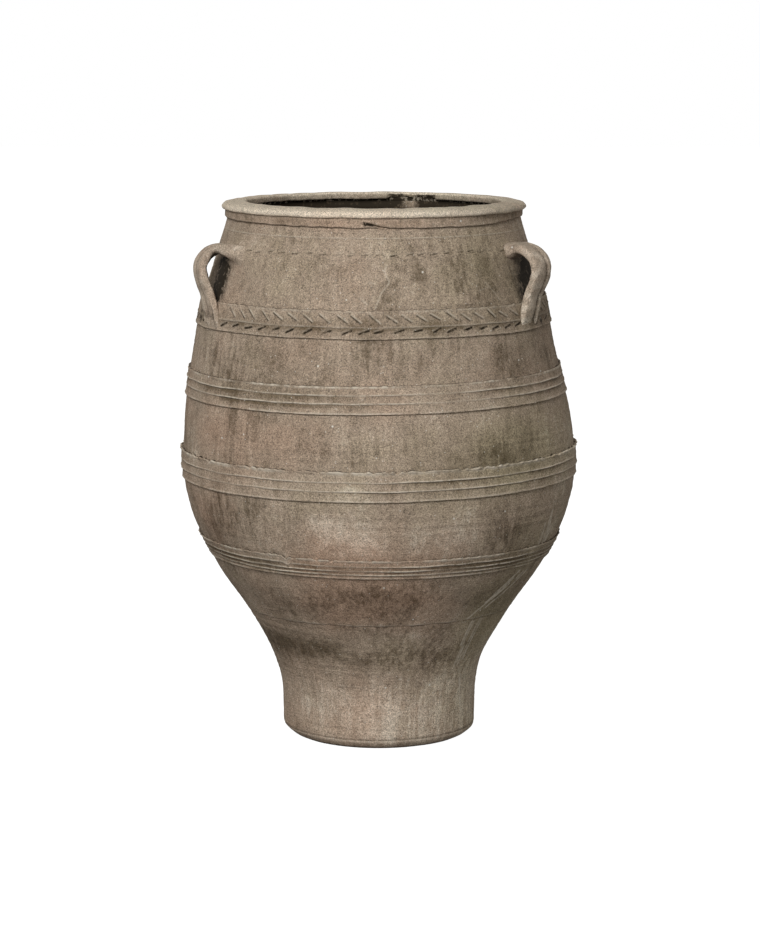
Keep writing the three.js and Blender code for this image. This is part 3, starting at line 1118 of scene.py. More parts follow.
@dataclass
class StrapHandle:
    """A strap handle of two rolls, pressed down on the shoulder with the fingers."""

    node: str
    course: tuple[tuple[float, float, float], ...]  # azimuth, standoff and height of its middle line
    width: float
    thickness: float
    seed: int
    fingers: tuple[float, ...]  # where the fingers pressed the foot, from the middle of the strap
    sides: int = 72
    rings: int = 150
    twist: float = 0.0  # degrees that the middle of the loop is turned about its own line
    groove_at: float = 3.0  # from the middle of the strap, towards a greater azimuth
    tone: float = 0.0  # darker below nought, paler above
    root_tone: float = 0.0  # added where it grows out of the neck
    pressed_at: float = 0.9  # share of its length where the fingers pressed
    BOXY = 0.62  # one would be round, and less is squarer
    GROOVE = 4.6  # its depth
    GROOVE_WIDTH = 4.2
    DENT = 6.5  # depth of a finger's dent
    DENT_WIDTH = 5.5
    DENT_LENGTH = 0.05  # share of the handle
    RIDGE = 1.3  # height of the clay raised beside a dent
    RIDGE_OFF = 9.0  # from the middle of the dent
    ROOT_END = 0.22  # share of the handle where it is no longer thickened
    WAIST_AT = 0.74
    FOOT_FROM = 0.78
    SAMPLES = 401  # along the smoothed middle line
    SOFTNESS = 14.0  # of the smoothing, in samples

    def build(self, potter: Potter) -> Piece:
        """Make the handle.

        Args:
            potter: The maker of pieces.

        Returns:
            The finished piece.
        """
        mesh, around, along = self._bar()
        middle, forward = self._course(potter.form, along)
        azimuth = np.arctan2(middle[:, 0], -middle[:, 1])
        azimuth += math.radians(self.twist) * ramp(along, 0.0, 0.25) * ramp(along, 0.9, 0.5)
        sideways = np.column_stack([np.cos(azimuth), np.sin(azimuth), np.zeros_like(azimuth)])
        sideways -= forward * np.sum(sideways * forward, axis=1, keepdims=True)
        sideways /= np.linalg.norm(sideways, axis=1, keepdims=True)
        outward = np.cross(forward, sideways)
        across, depth = self._section(around, along)
        points = middle + sideways * across[:, None] + outward * depth[:, None]
        relief = depth / (self.thickness / 2)
        centre = bell(across - self.groove_at, 3.0) * (depth > 0)
        edge = (0.55 * ramp(relief, 0.75, 1.05) * (1 - centre) + 0.25) * ramp(along, 0.05, 0.25)
        # Painted shade on the back of the loop where it faces the neck; dirt and painted shade in the
        # groove between the rolls and in the finger dents.
        behind = ramp(relief, -0.4, -0.95) * ramp(along, 0.9, 0.6) * ramp(along, 0.13, 0.3)
        soil = np.maximum(1.1 * centre * ramp(along, 0.05, 0.2), 2.0 * behind)
        soil = np.maximum(soil, 1.3 * self._dents(across, along) * (depth > 0))
        tone = self.tone + 0.2 * Ripple(self.seed + 9, (1, 4), (20, 60))(around, along * 200)
        tone += self.root_tone * ramp(along, 0.34, 0.1)
        paint(mesh, edge=edge, soil=soil, tone=tone)
        return potter.finish(self.node, mesh, points, Slot.HANDLE_CLAY)

    def _bar(self) -> tuple[Mesh, Row, Row]:
        """A straight bar cut into rings.

        Returns:
            Its mesh, and for each point its angle round the bar and its share along it.
        """
        bar = bmesh.new()
        bmesh.ops.create_cone(bar, cap_ends=True, segments=self.sides, radius1=1, radius2=1, depth=1)
        length = [edge for edge in bar.edges if abs(edge.verts[0].co.z - edge.verts[1].co.z) > 0.5]
        bmesh.ops.subdivide_edges(bar, edges=length, cuts=self.rings, use_grid_fill=True)
        mesh = baked(bar, "bar")
        x, y, z = corners(mesh).T
        return mesh, np.arctan2(y, x), 0.5 - z

    def _course(self, form: JarForm, along: Row) -> tuple[Row, Row]:
        """The handle's middle line.

        Args:
            form: The form of the wall.
            along: Shares along the line.

        Returns:
            The point and the direction at each share.
        """
        azimuth, standoff, height = np.array(self.course).T
        marks = form.place(np.radians(azimuth), standoff, height, worked=False)
        lengths = np.concatenate([[0], np.cumsum(np.linalg.norm(np.diff(marks, axis=0), axis=1))])
        at = np.linspace(0, lengths[-1], self.SAMPLES)
        rough = [np.interp(at, lengths, mark) for mark in marks.T]
        line = np.column_stack([softened(row, self.SOFTNESS) for row in rough])
        slope = np.gradient(line, axis=0)
        shares = np.linspace(0, 1, self.SAMPLES)
        middle, forward = (
            np.column_stack([np.interp(along, shares, column) for column in table.T])
            for table in (line, slope)
        )
        return middle, forward / np.linalg.norm(forward, axis=1, keepdims=True)

    def _section(self, around: Row, along: Row) -> tuple[Row, Row]:
        """Offsets across the strap and out from it.

        Args:
            around: Angles round the strap.
            along: Shares along it.

        Returns:
            The offset across and the offset out at each point.
        """
        root = np.clip(1 - along / self.ROOT_END, 0, 1) ** 1.6
        waist = bell(along - self.WAIST_AT, 0.12)
        foot = ramp(along, self.FOOT_FROM, 1.0)
        half = self.width / 2 * (1 + 0.25 * root - 0.14 * waist + 0.05 * foot)
        thick = self.thickness / 2 * (1 + 1.7 * root - 0.5 * foot)
        cosine, sine = np.cos(around), np.sin(around)
        across = half * np.sign(cosine) * np.abs(cosine) ** self.BOXY
        depth = thick * np.sign(sine) * np.abs(sine) ** self.BOXY
        groove = bell(across - self.groove_at, self.GROOVE_WIDTH) * (1 - 0.8 * foot) * (1 - root)
        depth -= groove * np.where(sine > 0, self.GROOVE, -0.5 * self.GROOVE) * np.abs(sine)
        lumps = Ripple(self.seed, (2, 7), (14, 60))(around, along * 220)
        fine = Ripple(self.seed + 1, (4, 16), (6, 30))(around, along * 220)
        swell = 1 + 0.014 * lumps + 0.008 * fine
        across, depth = across * swell, depth * swell
        depth -= self.DENT * self._dents(across, along) * (sine > 0)
        raised = self.RIDGE * bell(along - self.pressed_at - 0.02, self.DENT_LENGTH) * (sine > 0)
        for finger in self.fingers:
            for side in (-1, 1):
                depth += raised * bell(across - finger - self.RIDGE_OFF * side, 3.2)
        return across, depth

    def _dents(self, across: Row, along: Row) -> Row:
        """How deep the fingers pressed each point of the foot, up to one."""
        pressed = bell(along - self.pressed_at, self.DENT_LENGTH)
        return sum(bell(across - finger, self.DENT_WIDTH) * pressed for finger in self.fingers)


# ---- Clays ----------------------------------------------------------------------------------


class Bench:
    """A node tree being filled, with short ways to make its nodes."""

    def __init__(self, tree: Tree) -> None:
        """Take up a tree to work on."""
        self.tree = tree

    def add(self, kind: str, **settings: Any) -> bpy.types.Node:
        """Add a node and set its properties.

        Args:
            kind: The node's type name.
            settings: Values of its properties.

        Returns:
            The node.
        """
        node = self.tree.nodes.new(kind)
        for name, value in settings.items():
            setattr(node, name, value)
        return node

    def feed(self, socket: Socket, value: Any) -> None:
        """Link a socket to another, or set its value.

        Args:
            socket: The socket to feed.
            value: A socket or a plain value.
        """
        if isinstance(value, Socket):
            self.tree.links.new(value, socket)
        else:
            socket.default_value = value

    def math(self, operation: str, *values: Any, clamp: bool = False) -> Socket:
        """Result of a sum on numbers or sockets.

        Args:
            operation: The sum's name.
            values: The numbers or sockets.
            clamp: Whether the result is kept from nought to one.

        Returns:
            The result.
        """
        node = self.add("ShaderNodeMath", operation=operation, use_clamp=clamp)
        for socket, value in zip(node.inputs, values):
            self.feed(socket, value)
        return node.outputs[0]

    def scaled(self, vector: Any, scale: tuple[float, float, float]) -> Socket:
        """Coordinates stretched by a scale.

        Args:
            vector: The coordinates.
            scale: The scale along each axis.

        Returns:
            The new coordinates.
        """
        node = self.add("ShaderNodeMapping", vector_type="POINT")
        self.feed(node.inputs["Vector"], vector)
        node.inputs["Scale"].default_value = scale
        return node.outputs[0]

    def noise(self, vector: Any, scale: float, detail: float, roughness: float) -> Socket:
        """Cloudy noise, centred on a half.

        Args:
            vector: Coordinates.
            scale: How many lumps there are to a metre.
            detail: How many finer layers it has.
            roughness: How strong those are.

        Returns:
            The noise.
        """
        node = self.add("ShaderNodeTexNoise", noise_dimensions="3D")
        self.feed(node.inputs["Vector"], vector)
        for name, value in (("Scale", scale), ("Detail", detail), ("Roughness", roughness)):
            node.inputs[name].default_value = value
        return node.outputs["Fac"]

    def remap(self, value: Any, low: float, high: float, *target: float) -> Socket:
        """A value taken smoothly and clamped from one range to another.

        Args:
            value: The value.
            low: Where the range begins.
            high: Where it ends.
            target: Both ends of the other range, nought and one if left out.

        Returns:
            The new value.
        """
        node = self.add("ShaderNodeMapRange", interpolation_type="SMOOTHSTEP")
        names = ("Value", "From Min", "From Max", "To Min", "To Max")
        for name, given in zip(names, (value, low, high, *(target or (0.0, 1.0)))):
            self.feed(node.inputs[name], given)
        return node.outputs["Result"]

    def dots(self, vector: Any, scale: float, keep: float, size: Pair) -> Socket:
        """Scattered round dots.

        Args:
            vector: Coordinates.
            scale: How many cells there are to a metre.
            keep: How high a cell's own number must be for it to hold a dot.
            size: Distances from a cell's middle where a dot has ended and where it is full.

        Returns:
            One in a dot and nought outside.
        """
        cell = self.add("ShaderNodeTexVoronoi", voronoi_dimensions="3D", feature="F1")
        self.feed(cell.inputs["Vector"], vector)
        cell.inputs["Scale"].default_value = scale
        chosen = self.math("GREATER_THAN", self.math("ABSOLUTE", cell.outputs["Color"]), keep)
        return self.math("MULTIPLY", chosen, self.remap(cell.outputs["Distance"], *size))

    def mix(self, share: Any, first: Any, second: Any, blend: str = "MIX") -> Socket:
        """A mix of two colours.

        Args:
            share: How much of the second there is.
            first: The first colour.
            second: The second colour.
            blend: How they are mixed.

        Returns:
            The mixed colour.
        """
        node = self.add("ShaderNodeMix", data_type="RGBA", blend_type=blend)
        self.feed(node.inputs["Factor"], share)
        self.feed(node.inputs[6], first)
        self.feed(node.inputs[7], second)
        return node.outputs[2]

    def group(self, tree: Tree, **values: Any) -> Socket:
        """Place a node group.

        Args:
            tree: The group.
            values: Inputs by name, with underscores for spaces.

        Returns:
            The group's first output.
        """
        node = self.add("ShaderNodeGroup", node_tree=tree)
        for name, value in values.items():
            self.feed(node.inputs[name.replace("_", " ")], value)
        return node.outputs[0]


VECTOR, FLOAT, COLOUR = "NodeSocketVector", "NodeSocketFloat", "NodeSocketColor"


class Effects:
    """Shader node groups that several clays share, each built once."""

    # Scale, detail, roughness and weight of each size of cloud in the mottling, and of sand.
    CLOUDS = ((4.5, 3, 0.5, 1.2), (19, 4, 0.55, 1.2), (80, 5, 0.65, 1.4))
    SANDS = ((300, 3, 0.8, 1.9), (560, 2, 0.8, 3.2))
    LIMES = ((75, 0.88, 0.17), (240, 0.86, 0.26))  # scale, share left empty and size of the specks
    RED = (1.06, 0.94, 0.90, 1.0)
    BLOOM = (0.95, 1.00, 0.90, 1.0)

    def __init__(self) -> None:
        """Build the groups."""
        self.mottle = self._mottle()
        self.streaks = self._streaks()
        self.specks = self._specks()
        self.scatter_mask = self._scatter_mask()
        self.grain = self._grain()
        self.hue = self._hue()
        self.sand = self._sand()

    @staticmethod
    def _open(name: str, output: str, kind: str, **inputs: str) -> tuple[Bench, Any, Any]:
        """Start a group that takes coordinates and more.

        Args:
            name: The group's name.
            output: Name of its output.
            kind: Socket type of the output.
            inputs: Socket type of each further input by name.

        Returns:
            The bench, the input node's sockets, and the output socket to feed.
        """
        tree = bpy.data.node_groups.new(name, "ShaderNodeTree")
        for label, given in {"Vector": VECTOR, **inputs}.items():
            tree.interface.new_socket(label, in_out="INPUT", socket_type=given)
        tree.interface.new_socket(output, in_out="OUTPUT", socket_type=kind)
        bench = Bench(tree)
        entry = bench.add("NodeGroupInput")
        leave = bench.add("NodeGroupOutput")
        return bench, entry.outputs, leave.inputs[0]

    def _mottle(self) -> Tree:
        """Clouds of darker and paler clay, from a hand's breadth down to a grain.

        Returns:
            The group.
        """
        bench, given, out = self._open("clay_mottle", "Value", FLOAT, Tone=FLOAT, Depth=FLOAT)
        total = given["Tone"]
        for scale, detail, roughness, weight in self.CLOUDS:
            cloud = bench.noise(given["Vector"], scale, detail, roughness)
            swing = bench.math("MULTIPLY", bench.math("SUBTRACT", cloud, 0.5), weight)
            total = bench.math("MULTIPLY_ADD", swing, given["Depth"], total)
        bench.feed(out, total)
        return bench.tree

    def _streaks(self) -> Tree:
        """Faint runs down the wall, where water has carried dirt.

        Returns:
            The group.
        """
        bench, given, out = self._open("rain_streaks", "Value", FLOAT, Amount=FLOAT)
        broad = bench.noise(bench.scaled(given["Vector"], (30, 30, 2.6)), 1.0, 4, 0.6)
        narrow = bench.noise(bench.scaled(given["Vector"], (120, 120, 7)), 1.0, 3, 0.6)
        run = bench.math("MULTIPLY_ADD", narrow, 0.6, bench.math("MULTIPLY", broad, 0.6))
        where = bench.remap(bench.noise(given["Vector"], 5.5, 2, 0.5), 0.40, 0.60, 0.25, 1.0)
        swing = bench.math("MULTIPLY", bench.remap(run, 0.48, 0.72, 0.45, -1.0), where)
        bench.feed(out, bench.math("MULTIPLY", swing, given["Amount"]))
        return bench.tree

    def _specks(self) -> Tree:
        """Specks of lime and grit in the clay.

        Returns:
            The group.
        """
        bench, given, out = self._open("lime_specks", "Mask", FLOAT, Amount=FLOAT)
        total: Any = 0.0
        for scale, keep, size in self.LIMES:
            dots = bench.dots(given["Vector"], scale, keep, (size, size * 0.6))
            total = bench.math("MAXIMUM", total, dots)
        bench.feed(out, bench.math("MULTIPLY", total, given["Amount"]))
        return bench.tree

    def _scatter_mask(self) -> Tree:
        """A mask, broken up so that it doesn't run evenly: of wear and painted highlight, and of dirt and
        painted shade.

        Returns:
            The group.
        """
        bench, given, out = self._open("patchy_mask", "Mask", FLOAT, Mask=FLOAT, Amount=FLOAT)
        broken = bench.remap(bench.noise(given["Vector"], 110, 5, 0.7), 0.36, 0.58, 0.25, 1.0)
        masked = bench.math("MULTIPLY", given["Mask"], broken)
        bench.feed(out, bench.math("MULTIPLY", masked, given["Amount"], clamp=True))
        return bench.tree

    def _sand(self) -> Tree:
        """Grains of sand that make a colour paler and darker from point to point.

        Returns:
            The group.
        """
        bench, given, out = self._open("sandy_colour", "Colour", COLOUR, Colour=COLOUR)
        total: Any = 1.0
        for scale, detail, roughness, weight in self.SANDS:
            grain = bench.math("SUBTRACT", bench.noise(given["Vector"], scale, detail, roughness), 0.5)
            total = bench.math("MULTIPLY_ADD", grain, weight, total)
        bench.feed(out, bench.mix(1.0, given["Colour"], bench.math("MAXIMUM", total, 0.3), "MULTIPLY"))
        return bench.tree

    def _hue(self) -> Tree:
        """Clay that drifts between a redder firing and a greenish grey bloom.

        Returns:
            The group.
        """
        bench, given, out = self._open("clay_hue", "Colour", COLOUR, Colour=COLOUR, Hue=FLOAT)
        cloud = bench.math("SUBTRACT", bench.noise(given["Vector"], 8, 4, 0.6), 0.5)
        drift = bench.math("MULTIPLY_ADD", cloud, 2.2, given["Hue"])
        colour = given["Colour"]
        for sign, tint in ((-1.0, self.RED), (1.0, self.BLOOM)):
            share = bench.math("MULTIPLY", drift, sign, clamp=True)
            colour = bench.mix(share, colour, tint, "MULTIPLY")
        bench.feed(out, colour)
        return bench.tree

    def _grain(self) -> Tree:
        """Height of the gritty surface: sandy grain, small pits, and marks of wiping round the jar.

        Returns:
            The group.
        """
        bench, given, out = self._open("clay_grain", "Height", FLOAT, Wiping=FLOAT)
        sand = bench.noise(given["Vector"], 330, 6, 0.75)
        lumps = bench.noise(given["Vector"], 70, 4, 0.6)
        wiped = bench.noise(bench.scaled(given["Vector"], (7, 7, 330)), 1.0, 3, 0.6)
        pit = bench.dots(given["Vector"], 150, 0.8, (0.3, 0.05))
        total = bench.math("MULTIPLY_ADD", lumps, 0.8, bench.math("MULTIPLY", sand, 0.9))
        total = bench.math("MULTIPLY_ADD", bench.math("MULTIPLY", wiped, given["Wiping"]), 1.0, total)
        bench.feed(out, bench.math("MULTIPLY_ADD", pit, -0.8, total))
        return bench.tree


Colour = tuple[float, float, float, float]


@dataclass(frozen=True)
class ClayFinish:
    """One weathered clay. Colours are linear."""

    slot: Slot
    dark: Colour
    middle: Colour
    pale: Colour
    depth: float = 1.0  # of the mottling
    streaks: float = 0.45
    specks: float = 0.9
    wear_and_highlight: float = 0.75
    darkening: float = 0.85
    wiping: float = 0.5
    roughness: Pair = (0.86, 0.97)
    ATTRIBUTES = ("edge", "soil", "tone", "hue")
    WEAR_AND_HIGHLIGHT = (0.62, 0.55, 0.45, 1.0)
    DIRT_AND_SHADE = (0.030, 0.022, 0.013, 1.0)
    LIME = (0.72, 0.69, 0.62, 1.0)
    BUMP = {"Strength": 0.55, "Distance": 0.0022}
    SHEEN = 0.22  # specular level

    def make(self, effects: Effects) -> bpy.types.Material:
        """Build the material.

        Args:
            effects: The shared node groups.

        Returns:
            The material.
        """
        material = bpy.data.materials.new(self.slot.value)
        material.use_nodes = True
        bench = Bench(material.node_tree)
        bench.tree.nodes.clear()
        place = bench.add("ShaderNodeTexCoord").outputs["Object"]
        edge, soil, tone, hue = (
            bench.add("ShaderNodeAttribute", attribute_name=name).outputs["Fac"]
            for name in self.ATTRIBUTES
        )
        value = bench.group(effects.mottle, Vector=place, Tone=tone, Depth=self.depth)
        value = bench.math("ADD", value, bench.group(effects.streaks, Vector=place, Amount=self.streaks))
        colour = bench.mix(bench.remap(value, 0.15, -1.25), self.middle, self.dark)
        colour = bench.mix(bench.remap(value, 0.0, 1.0), colour, self.pale)
        colour = bench.group(effects.hue, Vector=place, Colour=colour, Hue=hue)
        colour = bench.group(effects.sand, Vector=place, Colour=colour)
        # The edge layer brings pale wear and painted highlight, and the dirt-and-shade layer brings dirt
        # and painted shade.
        masked = bench.group(effects.scatter_mask, Vector=place, Mask=edge, Amount=self.wear_and_highlight)
        limy = bench.group(effects.specks, Vector=place, Amount=self.specks)
        soiled = bench.group(effects.scatter_mask, Vector=place, Mask=soil, Amount=self.darkening)
        for share, over in ((masked, self.WEAR_AND_HIGHLIGHT), (limy, self.LIME), (soiled, self.DIRT_AND_SHADE)):
            colour = bench.mix(share, colour, over)
        bump = bench.add("ShaderNodeBump")
        for name, level in self.BUMP.items():
            bump.inputs[name].default_value = level
        bench.feed(bump.inputs["Height"], bench.group(effects.grain, Vector=place, Wiping=self.wiping))
        shader = bench.add("ShaderNodeBsdfPrincipled")
        shader.inputs["Specular IOR Level"].default_value = self.SHEEN
        bench.feed(shader.inputs["Base Color"], colour)
        bench.feed(shader.inputs["Roughness"], bench.remap(value, -0.6, 0.6, *self.roughness))
        bench.feed(shader.inputs["Normal"], bump.outputs["Normal"])
        bench.feed(bench.add("ShaderNodeOutputMaterial").inputs["Surface"], shader.outputs["BSDF"])
        return material


FINISHES = (
    ClayFinish(Slot.BODY_CLAY, (0.130, 0.096, 0.062, 1), (0.385, 0.305, 0.230, 1), (0.60, 0.52, 0.42, 1)),
    ClayFinish(
        Slot.FOOT_CLAY,
        *((0.126, 0.092, 0.058, 1), (0.400, 0.315, 0.238, 1), (0.60, 0.51, 0.41, 1)),
        wiping=0.8,
    ),
    ClayFinish(
        Slot.RIM_CLAY,
        *((0.30, 0.245, 0.18, 1), (0.715, 0.625, 0.50, 1), (0.82, 0.75, 0.64, 1)),
        depth=0.7,
        streaks=0.0,
    ),
    ClayFinish(
        Slot.STRIP_CLAY,
        *((0.14, 0.103, 0.064, 1), (0.400, 0.320, 0.243, 1), (0.62, 0.54, 0.44, 1)),
        streaks=0.2,
    ),
    ClayFinish(
        Slot.HANDLE_CLAY,
        *((0.18, 0.135, 0.10, 1), (0.410, 0.332, 0.256, 1), (0.64, 0.56, 0.46, 1)),
        depth=0.8,
        streaks=0.0,
        wear_and_highlight=0.5,
    ),
    # The clay of the inside is a darker copy of the body clay: painted shade.
    ClayFinish(Slot.INNER_CLAY, (0.10, 0.08, 0.06, 1), (0.26, 0.21, 0.16, 1), (0.42, 0.36, 0.29, 1)),
)


# ---- Studio ---------------------------------------------------------------------------------


@dataclass
class Studio:
    """A pale floor, soft lights and the camera."""

    camera_place: tuple[float, float, float] = (0.002, -5.814, 1.4126)
    camera_pitch: float = 8.95  # degrees below level
    lens: float = 121.04
    key: float = 260.0
    fill: float = 17.0
    back: float = 24.0  # of each of the two lights behind the jar, which brush its edges
    ambient: float = 0.17
    floor_glow: float = 1.0
    SENSOR_WIDTH = 36.0
    SIGHT = 60.0  # how far the camera sees
    FLOOR_DEPTH = 0.0006  # the floor lies this far under the foot
    FLOOR_SIZE = 20.0
    AIM = Vector((0, 0, 0.55))  # the middle of the jar, which the lights face

    def build(self) -> None:
        """Set up the whole studio."""
        self._floor()
        self._world()
        for light in (
            ("key", (-1.5, -4.8, 3.5), 2.6, self.key),
            ("fill", (3.4, -3.6, 1.6), 3.0, self.fill),
            ("back_right", (3.4, 3.0, 1.9), 2.6, self.back),
            ("back_left", (-3.4, 3.2, 1.9), 2.6, self.back),
        ):
            self._light(*light)
        self._camera()
        view = bpy.context.scene.view_settings
        view.view_transform = "Standard"
        view.look = "None"

    def _floor(self) -> None:
        """Lay a plain floor that looks as bright as the backdrop."""
        grid = bmesh.new()
        bmesh.ops.create_grid(grid, x_segments=1, y_segments=1, size=self.FLOOR_SIZE)
        mesh = baked(grid, "floor")
        floor = bpy.data.objects.new("floor", mesh)
        floor.location.z = -self.FLOOR_DEPTH
        bpy.context.scene.collection.objects.link(floor)
        material = bpy.data.materials.new("pale_floor")
        material.use_nodes = True
        bench = Bench(material.node_tree)
        bench.tree.nodes.clear()
        seen = bench.add("ShaderNodeLightPath").outputs["Is Camera Ray"]
        paper = bench.add("ShaderNodeBsdfDiffuse")
        paper.inputs["Color"].default_value = (0.30, 0.30, 0.30, 1)
        glow = bench.add("ShaderNodeEmission")
        glow.inputs["Strength"].default_value = self.floor_glow
        bright = bench.add("ShaderNodeAddShader")
        bench.feed(bright.inputs[0], paper.outputs[0])
        bench.feed(bright.inputs[1], glow.outputs[0])
        both = bench.add("ShaderNodeMixShader")
        bench.feed(both.inputs["Fac"], seen)
        bench.feed(both.inputs[1], paper.outputs[0])
        bench.feed(both.inputs[2], bright.outputs[0])
        bench.feed(bench.add("ShaderNodeOutputMaterial").inputs["Surface"], both.outputs[0])
        mesh.materials.append(material)

    def _world(self) -> None:
        """Make the backdrop white to look at, and dimmer as a light."""
        world = bpy.data.worlds.new("studio")
        world.use_nodes = True
        bench = Bench(world.node_tree)
        bench.tree.nodes.clear()
        seen = bench.add("ShaderNodeLightPath").outputs["Is Camera Ray"]
        backdrop = bench.add("ShaderNodeBackground")
        tint = bench.mix(seen, (1.0, 0.92, 0.80, 1), (1, 1, 1, 1))
        bench.feed(backdrop.inputs["Color"], tint)
        bench.feed(backdrop.inputs["Strength"], bench.remap(seen, 0.0, 1.0, self.ambient, 1.0))
        bench.feed(bench.add("ShaderNodeOutputWorld").inputs["Surface"], backdrop.outputs[0])
        bpy.context.scene.world = world

    def _light(self, name: str, place: Sequence[float], size: float, power: float) -> None:
        """Hang a soft light that faces the middle of the jar.

        Args:
            name: Name of the light.
            place: Where it hangs.
            size: Its side, in metres.
            power: Its power, in watts.
        """
        light = bpy.data.lights.new(name, "AREA")
        light.shape = "SQUARE"
        light.size = size
        light.energy = power
        lamp = bpy.data.objects.new(name, light)
        lamp.location = place
        lamp.rotation_euler = (self.AIM - Vector(place)).to_track_quat("-Z", "Y").to_euler()
        bpy.context.scene.collection.objects.link(lamp)

    def _camera(self) -> None:
        """Stand the camera in front, at eye height."""
        data = bpy.data.cameras.new("camera")
        data.lens = self.lens
        data.sensor_width = self.SENSOR_WIDTH
        data.clip_end = self.SIGHT
        camera = bpy.data.objects.new("camera", data)
        camera.location = self.camera_place
        camera.rotation_euler = (math.radians(90 - self.camera_pitch), 0, 0)
        bpy.context.scene.collection.objects.link(camera)
        bpy.context.scene.camera = camera


# ---- The jar --------------------------------------------------------------------------------


DASH_SPACING = (22.0, 32.0)  # least and most, in mm round the straight ring
DASH_LENGTH = (9.0, 13.0)
DASH_PAIRED = 0.4  # share of the dashes that have another below them


def dashes(height: float, seed: int) -> tuple[Cut, ...]:
    """A row of short paired dashes pressed round the neck.

    Args:
        height: Height of the row.
        seed: Seed of the hand's unevenness.

    Returns:
        The dashes.
    """
    draw = np.random.default_rng(seed)
    made: list[Cut] = []
    at = -180.0
    while at < 176.0:
        at += math.degrees(draw.uniform(*DASH_SPACING) / STRAIGHT_RADIUS)
        reach = math.degrees(draw.uniform(*DASH_LENGTH) / STRAIGHT_RADIUS)
        level = height + draw.normal(0, 1.2)
        depth = draw.uniform(0.5, 1.3)
        made.append(Cut((at, level), (at + reach, level + 1.2), 2.4, depth, 0.1, 1.2 * depth, 0.2))
        if draw.random() < DASH_PAIRED:
            start, end = (at + reach * 0.6, level - 3), (at + reach * 1.3, level - 2)
            made.append(Cut(start, end, 1.8, depth, 0.1, 0.6 * depth))
    return tuple(made)


def trail(*points: Pair, width: float = 3.0, pale: float = 2.4) -> tuple[Cut, ...]:
    """A shallow pale scratch that wanders through several points.

    Args:
        points: Azimuth in degrees and height of each point.
        width: Width of the scratch.
        pale: How pale it is.

    Returns:
        The strokes that make it up.
    """
    return tuple(Cut(start, end, width, 0.25, 0.2, 0.0, pale) for start, end in zip(points, points[1:]))


def scuffs(start: Pair, end: Pair, count: int, spread: float, seed: int) -> tuple[Cut, ...]:
    """Several thin pale scratches that run nearly side by side.

    Args:
        start: Azimuth in degrees and height where they begin.
        end: Where they end.
        count: How many there are.
        spread: How far they stray to either side, in degrees.
        seed: Seed of the straying.

    Returns:
        The strokes.
    """
    draw = np.random.default_rng(seed)
    made: list[Cut] = []
    across, rise = end[0] - start[0], end[1] - start[1]
    for _ in range(count):
        first, last = np.sort(draw.uniform(0, 1, 2))
        stray, turn = draw.normal(0, spread / 2, 2)
        ends = [
            (start[0] + across * at + stray + turn * at * 0.4, start[1] + rise * at)
            for at in (first, last + 0.1)
        ]
        made += trail(*ends, width=draw.uniform(2.0, 3.2), pale=draw.uniform(1.3, 3.0))
    return tuple(made)


NECK_LINES = tuple(
    Cut((at, 948), (at + 8, 948), 1.5, 0.35, 0.25, 0.25, 0.7) for at in range(-180, 180, 8)
)
ROOT_MARKS = (
    *trail((4.3, 904), (3.4, 893), (5.0, 874), (2.2, 856), (0.2, 830), width=1.7, pale=1.0),
    *trail((-5.0, 847), (-1.9, 834), width=1.6, pale=0.8),
    *trail((-1.7, 873), (0.5, 870), width=1.6, pale=0.7),
    *trail((41.0, 866), (44.5, 846), (46.0, 834), width=1.6, pale=0.6),
    *trail((38.0, 852), (42.0, 857), width=1.6, pale=0.5),
)
SCRAPES = (
    *scuffs((61.5, 450), (63.5, 360), 9, 2.6, seed=51),
    *scuffs((57.0, 340), (40.0, 258), 9, 3.5, seed=52),
    *scuffs((46.0, 250), (46.5, 150), 9, 3.0, seed=53),
    *scuffs((51.0, 140), (58.0, 30), 4, 1.6, seed=54),
    *trail((60.1, 531), (60.3, 501), width=3.4, pale=1.6),
)
FOOT_SCRATCH = (Cut((-24, 118), (-8, 116), 2.2, 0.5, 0.2, 0.5, 0.3),)

WALLS = (
    FootSection(
        "foot_section", 0.0, 246.0, Slot.FOOT_CLAY, seed=101, cuts=FOOT_SCRATCH + SCRAPES, spacing=2.5
    ),
    LowJointSection("lower_belly_section", 246.0, 362.0, seed=102, cuts=SCRAPES),
    WallSection("belly_section", 362.0, 520.0, seed=103, cuts=SCRAPES),
    WallSection("upper_belly_section", 520.0, 671.0, seed=104, cuts=SCRAPES),
    WallSection("shoulder_section", 671.0, 801.0, seed=105),
    WallSection(
        "neck_section",
        801.0,
        971.0,
        seed=106,
        spacing=1.8,
        steps=960,
        fine=((915, 925), (945, 951)),
        cuts=dashes(920, 7) + NECK_LINES + ROOT_MARKS,
    ),
)

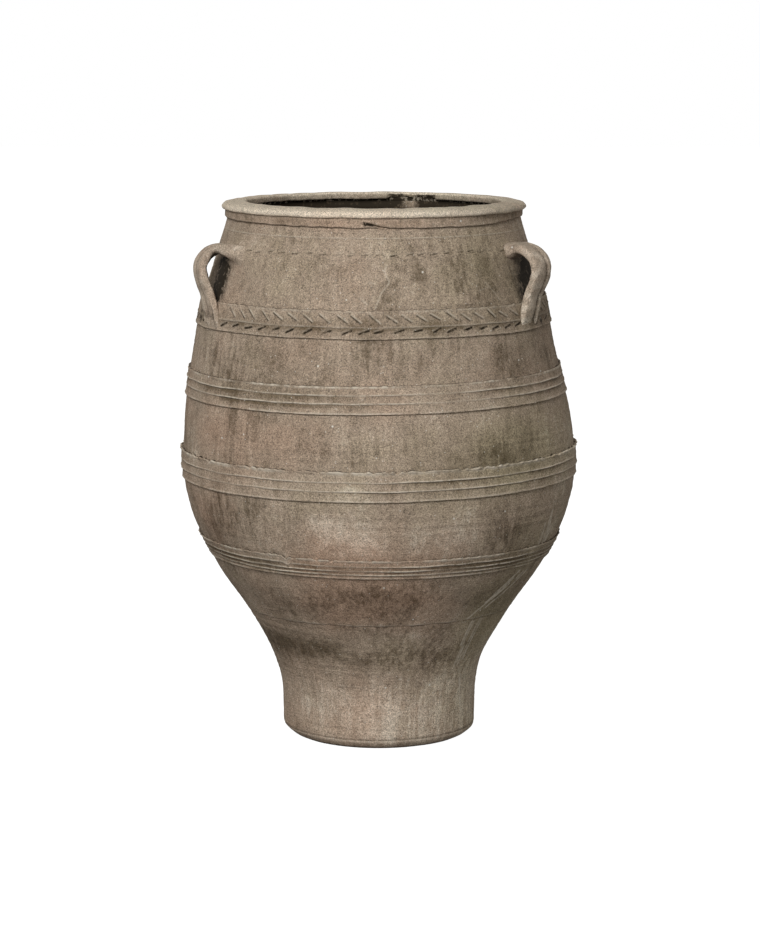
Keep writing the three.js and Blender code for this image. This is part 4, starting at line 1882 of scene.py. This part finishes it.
STRIPS = (
    HerringboneStrip(
        "herringbone_band", 776, 826, (796.0,), tilt=1, seed=210, proud=2.8, burr=0.35, wear_and_highlight=0.25
    ),
    CombedStrip(
        "upper_band", 646, 696, (679.0, 664.0), tilt=6, seed=240, proud=3.2, fold_depth=2.0, burr=0.3
    ),
    CombedStrip(
        "belly_band", 492, 547, (527.0, 510.5), tilt=8, seed=270, proud=3.4, fold_depth=2.5, burr=0.9
    ),
    CombedStrip(
        "lower_band", 346, 383, (369.5, 361.0, 353.5), tilt=-1.5, seed=300, proud=3.2, burr=0.45, lap=-30
    ),
)

HANDLES = (
    StrapHandle(
        "handle_left",
        (
            (-57.0, -18, 903), (-59.0, -5, 909), (-61.5, 8, 914), (-66.5, 20, 918), (-69.0, 33, 912),
            (-70.0, 40, 898), (-70.0, 41, 884), (-68.0, 31, 859), (-66.5, 20, 841), (-64.0, 12, 815),
            (-63.0, 6, 792), (-62.6, -1, 774),
        ),
        width=52,
        thickness=18,
        seed=401,
        fingers=(-17.0, 0.0, 16.0),
        tone=-0.15,
        twist=-2.0,
    ),
    StrapHandle(
        "handle_right",
        (
            (61, -18, 908), (61, -4, 915), (61, 11, 920), (61, 23, 923), (61, 35, 920), (61, 45, 912),
            (61, 51, 901), (61, 51, 888), (61, 44, 872), (61, 33, 857), (60.5, 19, 839), (60, 10, 815),
            (59.5, 3, 793), (59.5, -6, 778),
        ),
        width=61,
        thickness=19,
        seed=402,
        fingers=(7.0, 26.0),
        groove_at=8.0,
        tone=0.3,
        root_tone=-0.8,
    ),
    StrapHandle(
        "handle_back",
        (
            (180, -18, 904), (180, -4, 912), (180, 11, 920), (180, 24, 924), (181, 38, 920),
            (182, 48, 908), (182, 47, 888), (182, 34, 863), (181, 19, 840), (180, 10, 815),
            (180, 5, 792), (180, -1, 774),
        ),
        width=57,
        thickness=18,
        seed=403,
        fingers=(-11.0, 10.0),
    ),
)


def main() -> None:
    """Build the jar round its frame, piece by piece."""
    logging.basicConfig(level=logging.INFO, format="%(message)s")
    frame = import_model()
    effects = Effects()
    clays = {finish.slot: finish.make(effects) for finish in FINISHES}
    potter = Potter(JarForm(frame["nodes"]), clays)
    for part in (FloorSlab(), *WALLS, Rim(), RimCollar(), *STRIPS, *HANDLES):
        part.build(potter)
    Studio().build()


if __name__ == "__main__":
    main()
